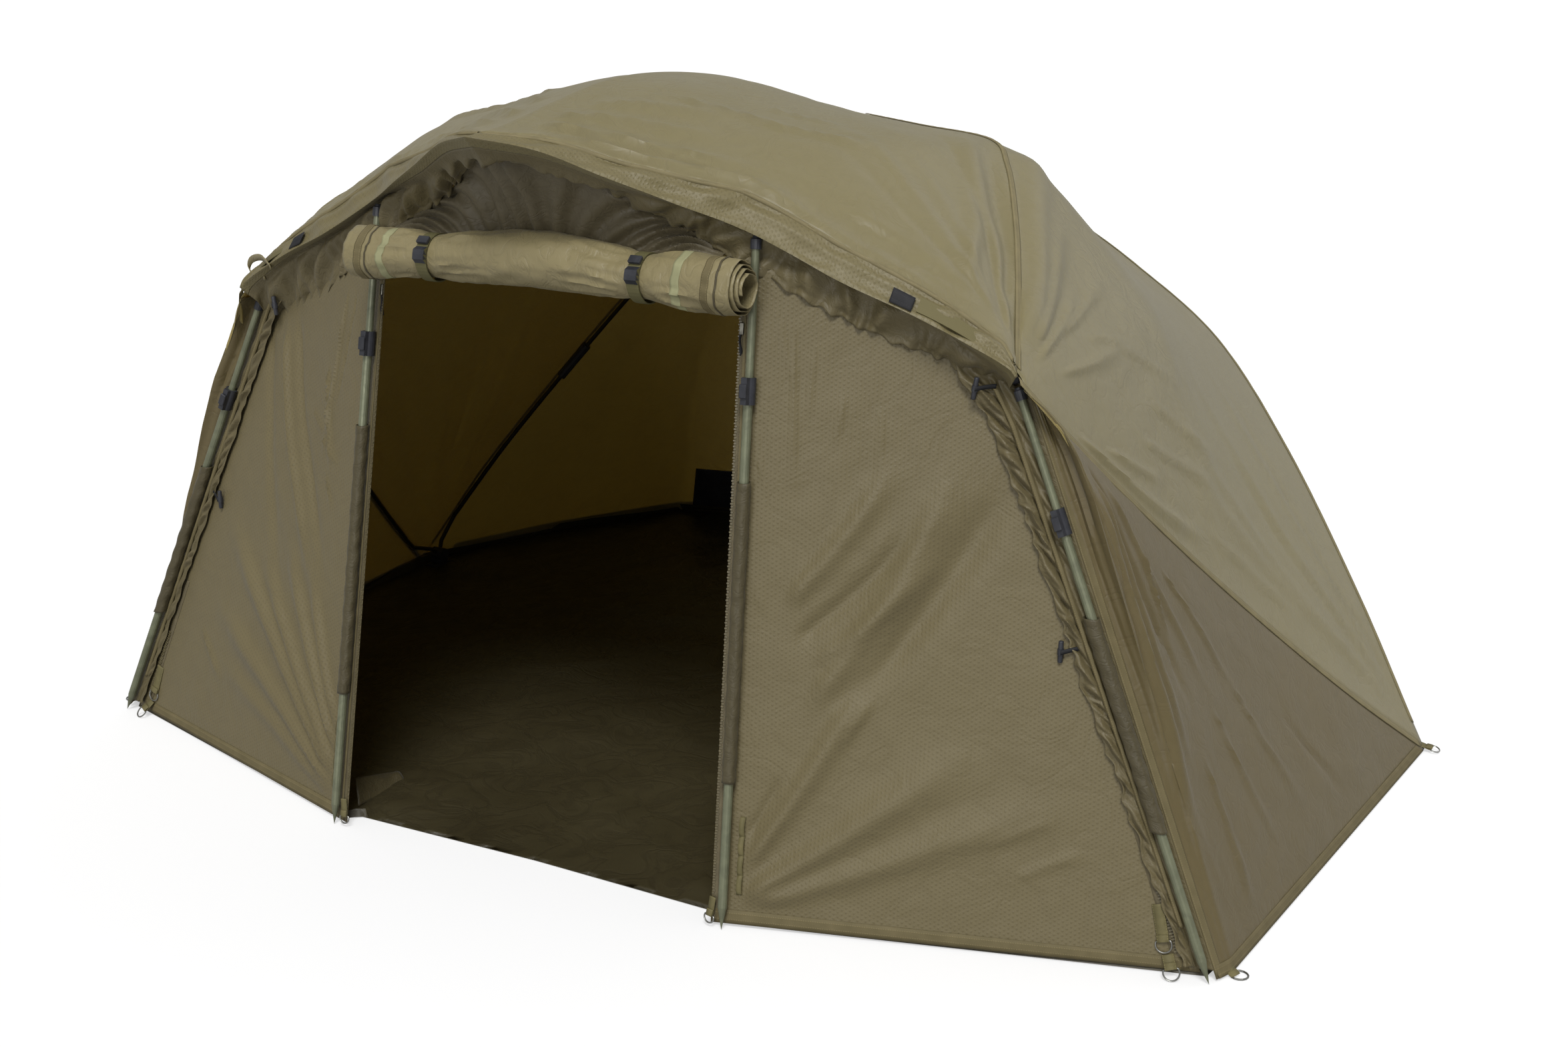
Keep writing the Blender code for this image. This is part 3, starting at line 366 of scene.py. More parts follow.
    def valance_inner(self, share: float) -> Vector:
        """The line where the valance turns down behind the brim."""
        rows = ((0.0, (0, 0.045, -0.042)), (0.25, (0, 0.05, -0.028)), (0.46, (0, 0.04, 0.002)),
                (0.62, (0, 0.038, -0.003)), (0.84, (-0.002, 0.034, -0.01)), (1.0, (-0.02, 0.02, -0.026)))
        return self.brim_edge.at(share) + table(rows, share)

    def valance_edge(self, share: float) -> Vector:
        """The valance's elastic edge: an arch over the door, then down in front of the panels."""
        rows = ((0.0, (0, 0.102, -0.05)), (0.12, (-0.007, 0.095, -0.036)), (0.25, (0, 0.1, -0.065)),
                (0.35, (-0.01, 0.08, -0.066)), (0.46, (0, 0.022, -0.077)), (0.62, (0.01, 0.037, -0.086)),
                (0.8, (0, 0.046, -0.077)), (0.9, (-0.014, 0.03, -0.066)), (0.96, (-0.012, 0.028, -0.052)),
                (1.0, (-0.01, 0.025, -0.034)))
        place = self.brim_edge.at(share) + table(rows, share)
        if share > 0.46:
            over = min((share - 0.46) / 0.1, 1.0)
            place.y += (self.panel(place.x, place.z, 0.007).y - place.y) * over
        return place

    def panel(self, x: float, z: float, ahead: float = 0.0) -> Vector:
        """A point of the front panel, or as far in front of it as asked."""
        inner = self.pole(self.centre_tip, self.centre_top, z)
        outer = self.pole(self.side_tip, self.side_top, z)
        low_y = inner.y + self.panel_back
        share = (x - inner.x) / (outer.x - self.panel_end - inner.x)
        return Vector((x, low_y + (outer.y + self.panel_back + 0.0055 - low_y) * share - ahead, z))

    def ridge_rise(self, share: float) -> Vector:
        """How far the ridge stands over the straight line from the brim to the crown."""
        if share >= 1.0:
            return Vector()
        straight = self.brim_top(0.0).lerp(self.crown, share)
        points = self.ridge_line.points
        z = float(np.interp(straight.y, [p.y for p in points], [p.z for p in points]))
        return Vector((0, 0, z - straight.z))

    def patch(self, near: Place, far: Place, side: Place, u: float, v: float) -> Vector:
        """A point of a panel spread from its pointed corner between two edges."""
        a, b = near(u), far(u)
        end = side(v) - near(1.0).lerp(far(1.0), v)
        return a.lerp(b, v) + end * u

    def roof_front(self, u: float, v: float) -> Vector:
        """Front roof panel: u runs from the corner, v from the brim to the front rib's seam."""
        return self.patch(lambda s: self.brim_top(1.0 - s), self.front_seam.at,
                          lambda s: self.brim_top(0.0).lerp(self.crown, s) + self.ridge_rise(s), u, v)

    def roof_side(self, u: float, v: float) -> Vector:
        """Side roof panel: u runs from the corner, v from the side seam to the front rib's seam."""
        hollow = Vector((-0.012, 0.0, -0.01)) * (16 * u * (1 - u) * v * (1 - v))
        return self.patch(self.side_seam.at, self.front_seam.at,
                          lambda s: self.rear_seam.at(1.0 - s), u, v) + hollow

    def rear_wall(self, u: float, v: float) -> Vector:
        """Rear wall: u runs down from the crown, v from the left seam to the right one."""
        edge = self.rear_seam.at(u)
        depth = self.rear_y - self.hub.y
        low = 1.0 - edge.z / self.crown.z
        push = max(low * depth - (edge.y - self.hub.y), 0.0) / depth
        return Side.LEFT.of(edge).lerp(edge, v) + Vector((0, self.rear_reach(v) * push, 0))

    def rear_reach(self, share: float) -> float:
        """How far the ground line stands behind the hubs, from the left foot to the right one."""
        corner = self.rear_corner.y - self.hub.y
        middle = self.rear_y - self.hub.y
        turn = self.rear_corner.x / self.foot.x
        return float(np.interp(abs(share - 0.5) * 2, (0.0, turn * 0.56, turn, turn + (1 - turn) * 0.57, 1.0),
                               (middle, middle * 0.25 + corner * 0.75 + 0.075, corner, corner * 0.52, 0.0)))

    def side_wall(self, u: float, v: float) -> Vector:
        """Lower side panel: u runs from its top point, v from beside the pole to the side seam."""
        start = self.side_start

        def seam(s: float) -> Vector:
            """The side seam, from a little way below its top."""
            return self.side_seam.at(start + (1 - start) * s) + Vector((0.0003, 0, -0.0009))

        if v < self.side_turn:
            share = v / self.side_turn
            fold = self.front_edge(u)
            inner = self.beside_pole(fold.z)
            dip = inner + Vector((0.013, 0.028, 0.0))
            return inner * (1 - share) ** 2 + dip * (2 * share * (1 - share)) + fold * share ** 2
        return self.patch(self.front_edge, seam, lambda s: self.front_foot.lerp(seam(1.0), s),
                          u, (v - self.side_turn) / (1 - self.side_turn))

    def beside_pole(self, z: float) -> Vector:
        """Where the side panel and the gathered strip meet, just behind the side pole."""
        return self.pole(self.side_tip, self.side_top, z) + Vector((0.01, 0.0165, 0.0))

    def front_edge(self, share: float) -> Vector:
        """The fold where the side panel turns from the front to the side, down to the ground."""
        top = self.side_seam.at(self.side_start) + Vector((0, -0.002, -0.004))
        z = top.z + (self.front_foot.z - top.z) * share
        first = top - self.pole(self.side_tip, self.side_top, top.z)
        last = self.front_foot - self.pole(self.side_tip, self.side_top, self.front_foot.z)
        rows = ((0.0, first), (0.03, first.lerp(Vector((0.06, 0.0, 0.0)), 0.5)), (0.07, (0.058, 0.004, 0)),
                (0.12, (0.067, 0.013, 0)), (0.19, (0.072, 0.016, 0)), (0.3, (0.066, 0.02, 0)),
                (0.43, (0.058, 0.03, 0)), (0.6, (0.05, 0.042, 0)), (0.81, (0.038, 0.055, 0)), (1.0, last))
        return self.pole(self.side_tip, self.side_top, z) + table(rows, share)


FORM = Form()


class Recipe:
    """A material's node tree, with short calls that add and join nodes."""

    def __init__(self, name: str, roughness: float, metallic: float = 0.0, **sockets: float) -> None:
        """Starts from one principled surface.

        Args:
            name: Material name.
            roughness: Roughness of the surface.
            metallic: Metallic value.
            sockets: Further constant inputs, with underscores for spaces.
        """
        self.material = bpy.data.materials.new(name)
        self.material.use_nodes = True
        self.tree = self.material.node_tree
        self.surface = self.tree.nodes["Principled BSDF"]
        self.surface.inputs["Roughness"].default_value = roughness
        self.surface.inputs["Metallic"].default_value = metallic
        for key, value in sockets.items():
            self.surface.inputs[key.replace("_", " ")].default_value = value

    def add(self, kind: str, inputs: dict, **settings: object) -> bpy.types.Node:
        """Adds a node, sets its inputs or joins them to other nodes' outputs, and returns it."""
        node = self.tree.nodes.new(kind)
        for key, value in settings.items():
            setattr(node, key, value)
        for key, value in inputs.items():
            if isinstance(value, Socket):
                self.tree.links.new(value, node.inputs[key])
            else:
                node.inputs[key].default_value = value
        return node

    def math(self, operation: str, first: object, second: object = 0.0, third: object = 0.0) -> Socket:
        """A math node's result."""
        return self.add("ShaderNodeMath", {0: first, 1: second, 2: third}, operation=operation).outputs[0]

    def spread(self, value: object, low: float, high: float, to_low: float = 0.0, to_high: float = 1.0) -> Socket:
        """Carries a value from one range to another, with clamped ends."""
        return self.add("ShaderNodeMapRange", {"Value": value, "From Min": low, "From Max": high,
                                               "To Min": to_low, "To Max": to_high}).outputs["Result"]

    def mix(self, share: object, first: object, second: object) -> Socket:
        """A mix of two colours."""
        first = (*first, 1.0) if isinstance(first, tuple) else first
        second = (*second, 1.0) if isinstance(second, tuple) else second
        return self.add("ShaderNodeMix", {0: share, 6: first, 7: second}, data_type="RGBA").outputs[2]

    def cloud(self, where: object, scale: float, detail: float = 4.0, distortion: float = 0.0) -> Socket:
        """A noise value from 0 to 1."""
        return self.add("ShaderNodeTexNoise", {"Vector": where, "Scale": scale, "Detail": detail,
                                               "Distortion": distortion}).outputs["Fac"]

    def uv(self) -> Socket:
        """The piece's own cloth map, in metres."""
        return self.add("ShaderNodeTexCoord", {}).outputs["UV"]

    def object(self) -> Socket:
        """The place in the shelter's frame, in metres."""
        return self.add("ShaderNodeTexCoord", {}).outputs["Object"]

    def bump(self, height: object, strength: float, distance: float, under: object = None) -> Socket:
        """A bump that stands on another one."""
        inputs = {"Height": height, "Strength": strength, "Distance": distance}
        if under is not None:
            inputs["Normal"] = under
        return self.add("ShaderNodeBump", inputs).outputs["Normal"]

    def finish(self, colour: object, normal: object = None, roughness: object = None) -> bpy.types.Material:
        """Joins the colour, normal and roughness to the surface and returns the material."""
        if isinstance(colour, tuple):
            self.surface.inputs["Base Color"].default_value = (*colour, 1.0)
        else:
            self.tree.links.new(colour, self.surface.inputs["Base Color"])
        if normal is not None:
            self.tree.links.new(normal, self.surface.inputs["Normal"])
        if roughness is not None:
            self.tree.links.new(roughness, self.surface.inputs["Roughness"])
        return self.material


@dataclass(frozen=True)
class ClothFinish:
    """Coated polyester cloth: threads, fine creases, faint random tone changes, and painted shade along the crease
    lines.
    """

    name: str
    colour: Colour
    deep: Colour
    roughness: float = 0.5
    thread: float = 0.0022
    crease: float = 0.0016
    crease_size: float = 0.055
    dots: float = 0.0
    sheen: float = 0.06
    glow: float = 0.0

    def material(self) -> bpy.types.Material:
        """Builds the cloth's material."""
        recipe = Recipe(self.name, self.roughness, Sheen_Weight=self.sheen, Specular_IOR_Level=0.42)
        if self.glow:
            recipe.surface.inputs["Subsurface Weight"].default_value = self.glow
            recipe.surface.inputs["Subsurface Radius"].default_value = (1.0, 0.93, 0.66)
            recipe.surface.inputs["Subsurface Scale"].default_value = 0.006
        uv = recipe.uv()
        parts = recipe.add("ShaderNodeSeparateXYZ", {0: uv})
        turn = math.tau / self.thread
        warp = recipe.math("SINE", recipe.math("MULTIPLY", parts.outputs["X"], turn))
        weft = recipe.math("SINE", recipe.math("MULTIPLY", parts.outputs["Y"], turn))
        slub = recipe.cloud(uv, 900.0, 2.0)
        threads = recipe.math("MULTIPLY_ADD", recipe.math("MULTIPLY", warp, weft), 0.5, slub)
        creases = recipe.math("SUBTRACT", recipe.cloud(uv, 1.0 / self.crease_size, 3.0, 1.2), 0.5)
        creases = recipe.spread(recipe.math("ABSOLUTE", creases), 0.0, 0.09)
        patches = recipe.cloud(recipe.object(), 1.7, 3.0, 0.4)
        normal = recipe.bump(recipe.cloud(uv, 0.45 / self.crease_size, 2.0, 0.4), 0.45, self.crease * 3.0)
        normal = recipe.bump(creases, 0.26, self.crease, normal)
        # The colour leans to the deep tone by random slubs and patches, and along the crease valleys as painted shade.
        shade = recipe.math("MULTIPLY_ADD", slub, 0.25, recipe.math("MULTIPLY_ADD", patches, 0.55,
                                                                   recipe.math("MULTIPLY", creases, 0.1)))
        colour = recipe.mix(recipe.spread(shade, 0.3, 0.75), self.deep, self.colour)
        if self.dots:
            dots = self.hexagons(recipe, uv)
            normal = recipe.bump(dots, 0.5, 0.0008, normal)
            darker = tuple(c * 0.8 for c in self.deep)
            colour = recipe.mix(recipe.math("MULTIPLY", dots, 0.42), colour, darker)
        normal = recipe.bump(threads, 0.2, 0.0003, normal)
        rough = recipe.spread(patches, 0.3, 0.7, self.roughness - 0.05, self.roughness + 0.06)
        return recipe.finish(colour, normal, rough)

    def hexagons(self, recipe: Recipe, uv: object) -> Socket:
        """Small dots in a honeycomb order."""
        total = None
        for k in range(3):
            angle = math.radians(60 * k)
            pull = math.tau / self.dots / math.cos(math.radians(30))
            axis = Vector((math.cos(angle) * pull, math.sin(angle) * pull, 0))
            wave = recipe.math("COSINE", recipe.add("ShaderNodeVectorMath", {0: uv, 1: axis},
                                                    operation="DOT_PRODUCT").outputs["Value"])
            total = wave if total is None else recipe.math("ADD", total, wave)
        return recipe.spread(total, 0.3, 2.4)


@dataclass(frozen=True)
class TapeFinish:
    """A folded seam or a woven tape, with rows of stitches along it."""

    name: str
    colour: Colour
    deep: Colour
    width: float
    rows: tuple[float, ...] = (-0.004, 0.004)
    stitch: float = 0.0045
    rib: float = 0.0018
    roughness: float = 0.7

    def material(self) -> bpy.types.Material:
        """Builds the tape's material: U runs along it and V across it, from its middle, in metres."""
        recipe = Recipe(self.name, self.roughness, Specular_IOR_Level=0.3)
        uv = recipe.uv()
        parts = recipe.add("ShaderNodeSeparateXYZ", {0: uv})
        along, across = parts.outputs["X"], parts.outputs["Y"]
        ribs = recipe.math("SINE", recipe.math("MULTIPLY", along, math.tau / self.rib))
        dash = recipe.spread(recipe.math("SINE", recipe.math("MULTIPLY", along, math.tau / self.stitch)), -0.5, -0.2)
        thread = None
        for row in self.rows:
            near = recipe.math("ABSOLUTE", recipe.math("SUBTRACT", across, row))
            line = recipe.math("MULTIPLY", recipe.spread(near, 0.0011, 0.0005), dash)
            thread = line if thread is None else recipe.math("MAXIMUM", thread, line)
        height = recipe.math("MULTIPLY_ADD", ribs, 0.25, recipe.cloud(uv, 700.0, 2.0))
        normal = recipe.bump(height, 0.3, 0.0003)
        normal = recipe.bump(recipe.cloud(uv, 45.0, 3.0, 0.5), 0.5, 0.002, normal)
        colour = recipe.mix(recipe.spread(recipe.cloud(uv, 25.0, 4.0), 0.35, 0.65), self.deep, self.colour)
        if thread is not None:
            normal = recipe.bump(thread, 0.6, 0.0005, normal)
            lighter = tuple(min(c * 1.5, 1.0) for c in self.colour)
            colour = recipe.mix(recipe.math("MULTIPLY", thread, 0.7), colour, lighter)
        return recipe.finish(colour, normal)


@dataclass(frozen=True)
class MouldedFinish:
    """Moulded plastic with a fine texture and lighter, rougher rubbed patches."""

    name: str
    colour: Colour
    roughness: float = 0.42

    def material(self) -> bpy.types.Material:
        """Builds the plastic's material."""
        recipe = Recipe(self.name, self.roughness, Specular_IOR_Level=0.45)
        where = recipe.object()
        grain = recipe.cloud(where, 1400.0, 2.0)
        smear = recipe.cloud(where, 55.0, 4.0, 0.3)
        normal = recipe.bump(grain, 0.25, 0.0002)
        lighter = tuple(c * 1.7 + 0.004 for c in self.colour)
        colour = recipe.mix(recipe.spread(smear, 0.45, 0.75, 0.0, 0.5), self.colour, lighter)
        rough = recipe.spread(smear, 0.3, 0.7, self.roughness - 0.08, self.roughness + 0.1)
        return recipe.finish(colour, normal, rough)


@dataclass(frozen=True)
class MetalFinish:
    """Drawn or coated metal: fine lines along the tube, faint handling marks."""

    name: str
    colour: Colour
    roughness: float = 0.35
    metallic: float = 1.0
    streak: tuple[float, float, float] = (260.0, 260.0, 6.0)

    def material(self) -> bpy.types.Material:
        """Builds the metal's material."""
        recipe = Recipe(self.name, self.roughness, self.metallic)
        where = recipe.object()
        pulled = recipe.add("ShaderNodeMapping", {"Vector": where, "Scale": self.streak})
        lines = recipe.cloud(pulled.outputs[0], 1.0, 3.0)
        marks = recipe.cloud(where, 38.0, 5.0, 0.6)
        normal = recipe.bump(lines, 0.1, 0.0002)
        darker = tuple(c * 0.74 for c in self.colour)
        colour = recipe.mix(recipe.spread(marks, 0.35, 0.62), darker, self.colour)
        rough = recipe.spread(marks, 0.3, 0.7, self.roughness + 0.1, self.roughness - 0.06)
        return recipe.finish(colour, normal, rough)


@dataclass(frozen=True)
class Palette:
    """Every finish of the shelter."""

    roof: ClothFinish = ClothFinish("roof_cloth", srgb(127, 118, 84), srgb(120, 111, 78), roughness=0.42, glow=0.3)
    # The walls are the roof's cloth, given a darker colour as painted shade for the lesser light on them.
    wall: ClothFinish = ClothFinish("wall_cloth_painted_shade", srgb(100, 88, 57), srgb(93, 82, 51), roughness=0.46, glow=0.3)
    lining: ClothFinish = ClothFinish("lining_cloth", srgb(158, 140, 84), srgb(146, 129, 76), roughness=0.55, glow=0.5)
    front: ClothFinish = ClothFinish("front_cloth", srgb(108, 98, 68), srgb(101, 91, 62), dots=0.0088,
                                     crease_size=0.09)
    brim: ClothFinish = ClothFinish("brim_cloth", srgb(117, 107, 74), srgb(108, 99, 66), dots=0.008,
                                    crease_size=0.04)
    ruched: ClothFinish = ClothFinish("ruched_cloth", srgb(106, 96, 66), srgb(90, 81, 54),
                                      crease=0.0026, crease_size=0.022)
    # The door top is the same cloth darkened as painted shade from the brim over it.
    arch: ClothFinish = ClothFinish("door_top_cloth_painted_shade", srgb(96, 88, 66), srgb(84, 76, 56),
                                    crease=0.0026, crease_size=0.03)
    sleeve: ClothFinish = ClothFinish("sleeve_cloth", srgb(79, 71, 46), srgb(67, 60, 39),
                                      crease=0.0024, crease_size=0.022)
    door: ClothFinish = ClothFinish("door_cloth", srgb(140, 129, 94), srgb(124, 114, 81), roughness=0.4,
                                    crease=0.003, crease_size=0.034)
    floor: ClothFinish = ClothFinish("floor_cloth", srgb(70, 64, 42), srgb(51, 46, 31), roughness=0.42,
                                     crease=0.0035, crease_size=0.1, sheen=0.0)
    seam: TapeFinish = TapeFinish("seam_tape", srgb(126, 116, 84), srgb(114, 105, 76), 0.014)
    hem: TapeFinish = TapeFinish("hem_tape", srgb(106, 96, 67), srgb(97, 88, 60), 0.02, (-0.006, 0.006))
    webbing: TapeFinish = TapeFinish("olive_webbing", srgb(112, 104, 70), srgb(94, 88, 58), 0.025,
                                     (-0.01, 0.01), rib=0.0026)
    pale: TapeFinish = TapeFinish("pale_tape", srgb(150, 149, 113), srgb(138, 137, 103), 0.022, ())
    black_web: TapeFinish = TapeFinish("black_webbing", srgb(40, 40, 42), srgb(28, 28, 30), 0.02,
                                       (-0.007, 0.007), rib=0.0024)
    zip_tape: TapeFinish = TapeFinish("zip_tape_olive", srgb(104, 95, 72), srgb(90, 82, 62), 0.014, (0.005,))
    black: MouldedFinish = MouldedFinish("black_plastic_moulded", srgb(44, 45, 50))
    rib: MouldedFinish = MouldedFinish("black_rib", srgb(26, 26, 27), 0.36)
    teeth: MouldedFinish = MouldedFinish("zip_teeth_olive", srgb(92, 84, 60), 0.4)
    tube: MetalFinish = MetalFinish("green_alloy", srgb(119, 122, 98), 0.38, 0.3)
    strap: TapeFinish = TapeFinish("strap_webbing", srgb(102, 98, 64), srgb(86, 82, 53), 0.025, (), rib=0.0026)
    dark_steel: MetalFinish = MetalFinish("zip_steel_dark", srgb(104, 102, 94), 0.36, 1.0, (90.0, 90.0, 90.0))
    steel: MetalFinish = MetalFinish("ring_steel_bright", srgb(176, 176, 170), 0.3, 1.0, (90.0, 90.0, 90.0))


@dataclass(frozen=True)
class Patch:
    """One grid of a piece of cloth.

    Place gives a point for two shares from 0 to 1, across and down are its steps for them, relief
    is the height of the folds in metres, and inside is a point on its inner side. Where it runs,
    its cloth map follows the two shares, and otherwise the map lies flat on the cloth.
    """

    place: Place
    across: int
    down: int
    relief: Relief | None = None
    inside: Vector | None = None
    runs: bool = True


class Workshop:
    """Makes the meshes, hands out the materials and hangs the pieces."""

    BEAD: float = 0.0006
    TAPE: float = 0.0009
    CLOSED: float = 0.0002
    SPARE: float = 1.001
    LEAST_FILL: float = 0.3
    BLENDS: dict[Hang, Vector] = {
        Hang.AHEAD: Vector((0, 0.35, 0.937)).normalized() * 0.25,
        Hang.BEHIND: Vector((0, -0.707, 0.707)).normalized() * 0.3,
    }

    def __init__(self) -> None:
        """Builds the materials once."""
        self.palette = Palette()
        self.materials = {name: getattr(self.palette, name).material()
                          for name in self.palette.__dataclass_fields__}

    def link(self, name: str, bm: Mesh, finishes: Sequence[str], smooth: float = 35.0) -> Piece:
        """Writes a mesh into a new object.

        Args:
            name: Name of the piece.
            bm: The mesh, which is freed.
            finishes: Names of its finishes, one for each material index.
            smooth: Faces that meet at less than this angle are shaded smooth.

        Returns:
            The new object.
        """
        mesh = bpy.data.meshes.new(name)
        bm.to_mesh(mesh)
        bm.free()
        made = bpy.data.objects.new(name, mesh)
        bpy.context.scene.collection.objects.link(made)
        for finish in finishes:
            mesh.materials.append(self.materials[finish])
        mesh.shade_smooth()
        mesh.set_sharp_from_angle(angle=math.radians(smooth))
        return made

    @staticmethod
    def settled(bm: Mesh) -> Mesh:
        """The same mesh with its points, faces and corners in one order, which a bevel doesn't keep to.

        Args:
            bm: The mesh, which is freed.

        Returns:
            The new mesh.
        """
        points = sorted(bm.verts, key=lambda vert: tuple(round(part, 6) for part in vert.co))
        order = {vert: k for k, vert in enumerate(points)}
        rows = []
        for face in bm.faces:
            row = [order[vert] for vert in face.verts]
            first = row.index(min(row))
            rows.append(row[first:] + row[:first])
        calm = bmesh.new()
        made = [calm.verts.new(vert.co) for vert in points]
        for row in sorted(rows):
            calm.faces.new([made[k] for k in row])
        bm.free()
        return calm

    @staticmethod
    def grid(bm: Mesh, patch: Patch) -> None:
        """Adds a patch to a mesh: a grid laid on its surface, with folds that stand off it.

        Args:
            bm: The mesh that it goes into.
            patch: The patch.
        """
        place, relief, inside = patch.place, patch.relief, patch.inside
        made = bmesh.ops.create_grid(bm, x_segments=patch.across, y_segments=patch.down, size=0.5)["verts"]
        shares = {}
        for vert in made:
            shares[vert] = (min(max(vert.co.x + 0.5, 0.0), 1.0), min(max(vert.co.y + 0.5, 0.0), 1.0))
            vert.co = place(*shares[vert])
        faces = list(dict.fromkeys(face for vert in made for face in vert.link_faces))
        for face in faces:
            face.normal_update()
        whole = sum((face.normal * face.calc_area() for face in faces), Vector())
        middle = sum((vert.co for vert in made), Vector()) / len(made)
        if inside is not None and whole.dot(middle - inside) < 0.0:
            bmesh.ops.reverse_faces(bm, faces=faces)
            whole.negate()
        for vert in made:
            vert.normal_update()
        if relief is not None:
            moves = [(vert, vert.normal * relief(*shares[vert], vert.co)) for vert in made]
            for vert, move in moves:
                vert.co += move
        layer = bm.loops.layers.uv.verify()
        if patch.runs:
            wide = sum((place((i + 1) / 12, 0.5) - place(i / 12, 0.5)).length for i in range(12))
            tall = sum((place(0.5, (i + 1) / 12) - place(0.5, i / 12)).length for i in range(12))
        out = whole.normalized()
        level = out.cross(Vector((0, 0, 1)))
        level = level.normalized() if level.length > 0.05 else Vector((1, 0, 0))
        up = level.cross(out)
        for face in faces:
            for loop in face.loops:
                if patch.runs:
                    u, v = shares[loop.vert]
                    loop[layer].uv = (u * wide, (v - 0.5) * tall)
                else:
                    loop[layer].uv = (loop.vert.co.dot(level), loop.vert.co.dot(up))

    def sheet(self, name: str, patches: Sequence[Patch], finishes: Sequence[str], thickness: float = 0.0016,
              merge: float = 0.0) -> Piece:
        """A piece of cloth from one or more patches.

        Args:
            name: Name of the piece.
            patches: The patches.
            finishes: Name of its finish, and of its inner side's finish where that differs.
            thickness: Thickness of the cloth, in metres.
            merge: Distance within which the patches' borders are joined.

        Returns:
            The new object.
        """
        bm = bmesh.new()
        for patch in patches:
            self.grid(bm, patch)
        if merge:
            bmesh.ops.remove_doubles(bm, verts=bm.verts, dist=merge)
        made = self.link(name, bm, finishes, 50.0)
        solid = made.modifiers.new("thickness", "SOLIDIFY")
        solid.thickness = thickness
        solid.offset = 0.0
        solid.material_offset = len(finishes) - 1
        solid.material_offset_rim = 0
        return made

    def trim(self, name: str, patch: Patch, finish: str, slot: str, how: Hang | str,
             thickness: float = TAPE, merge: float = 0.0) -> Piece:
        """A tape, bead, sleeve or strap: one patch of cloth, on its body.

        Args:
            name: Name of the piece.
            patch: The patch.
            finish: Name of its finish.
            slot: Its material slot; not used.
            how: How it moves, or the body that it rides on.
            thickness: Its thickness, in metres.
            merge: Distance within which its borders are joined.

        Returns:
            The new object.
        """
        made = self.sheet(name, [patch], [finish], thickness, merge)
        return self.hang(made, how)

    def declare(self, piece: Piece, held: str, rests_on: Sequence[str], with_pieces: Sequence = ()) -> None:
        """Works out the size that a sheet's cloth measures, and logs it.

        Args:
            piece: The sheet.
            held: How it is held; not used.
            rests_on: Names of what it hangs from or lies on; not used.
            with_pieces: Trim that goes with it.
        """
        bm = bmesh.new()
        bm.from_mesh(piece.data)
        area = sum(face.calc_area() for face in bm.faces)
        layer = bm.loops.layers.uv.verify()
        spots = np.array([loop[layer].uv[:] for face in bm.faces for loop in face.loops])
        bm.free()
        size = spots.max(0) - spots.min(0)
        grow = max(math.sqrt(area / (size[0] * size[1])) * self.SPARE, 1.0)
        wide, tall = float(size[0] * grow), float(size[1] * grow)
        area = max(area, self.LEAST_FILL * wide * tall)
        list(with_pieces)
        LOG.info("%s: sheet of %.2f x %.2f m, %.3f m2", piece.name, wide, tall, area)

    def hang(self, piece: Piece, how: Hang | str) -> Piece:
        """Makes a piece move with the roof, the ground or a named body; one that would follow both of them only has
        its place baked into its mesh. Returns it.
        """
        if how in self.BLENDS:
            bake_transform(piece)
        else:
            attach(piece, how.value if isinstance(how, Hang) else how)
        return piece


@dataclass(frozen=True)
class Maker:
    """A sub-assembly, which is built in the workshop."""

    shop: Workshop


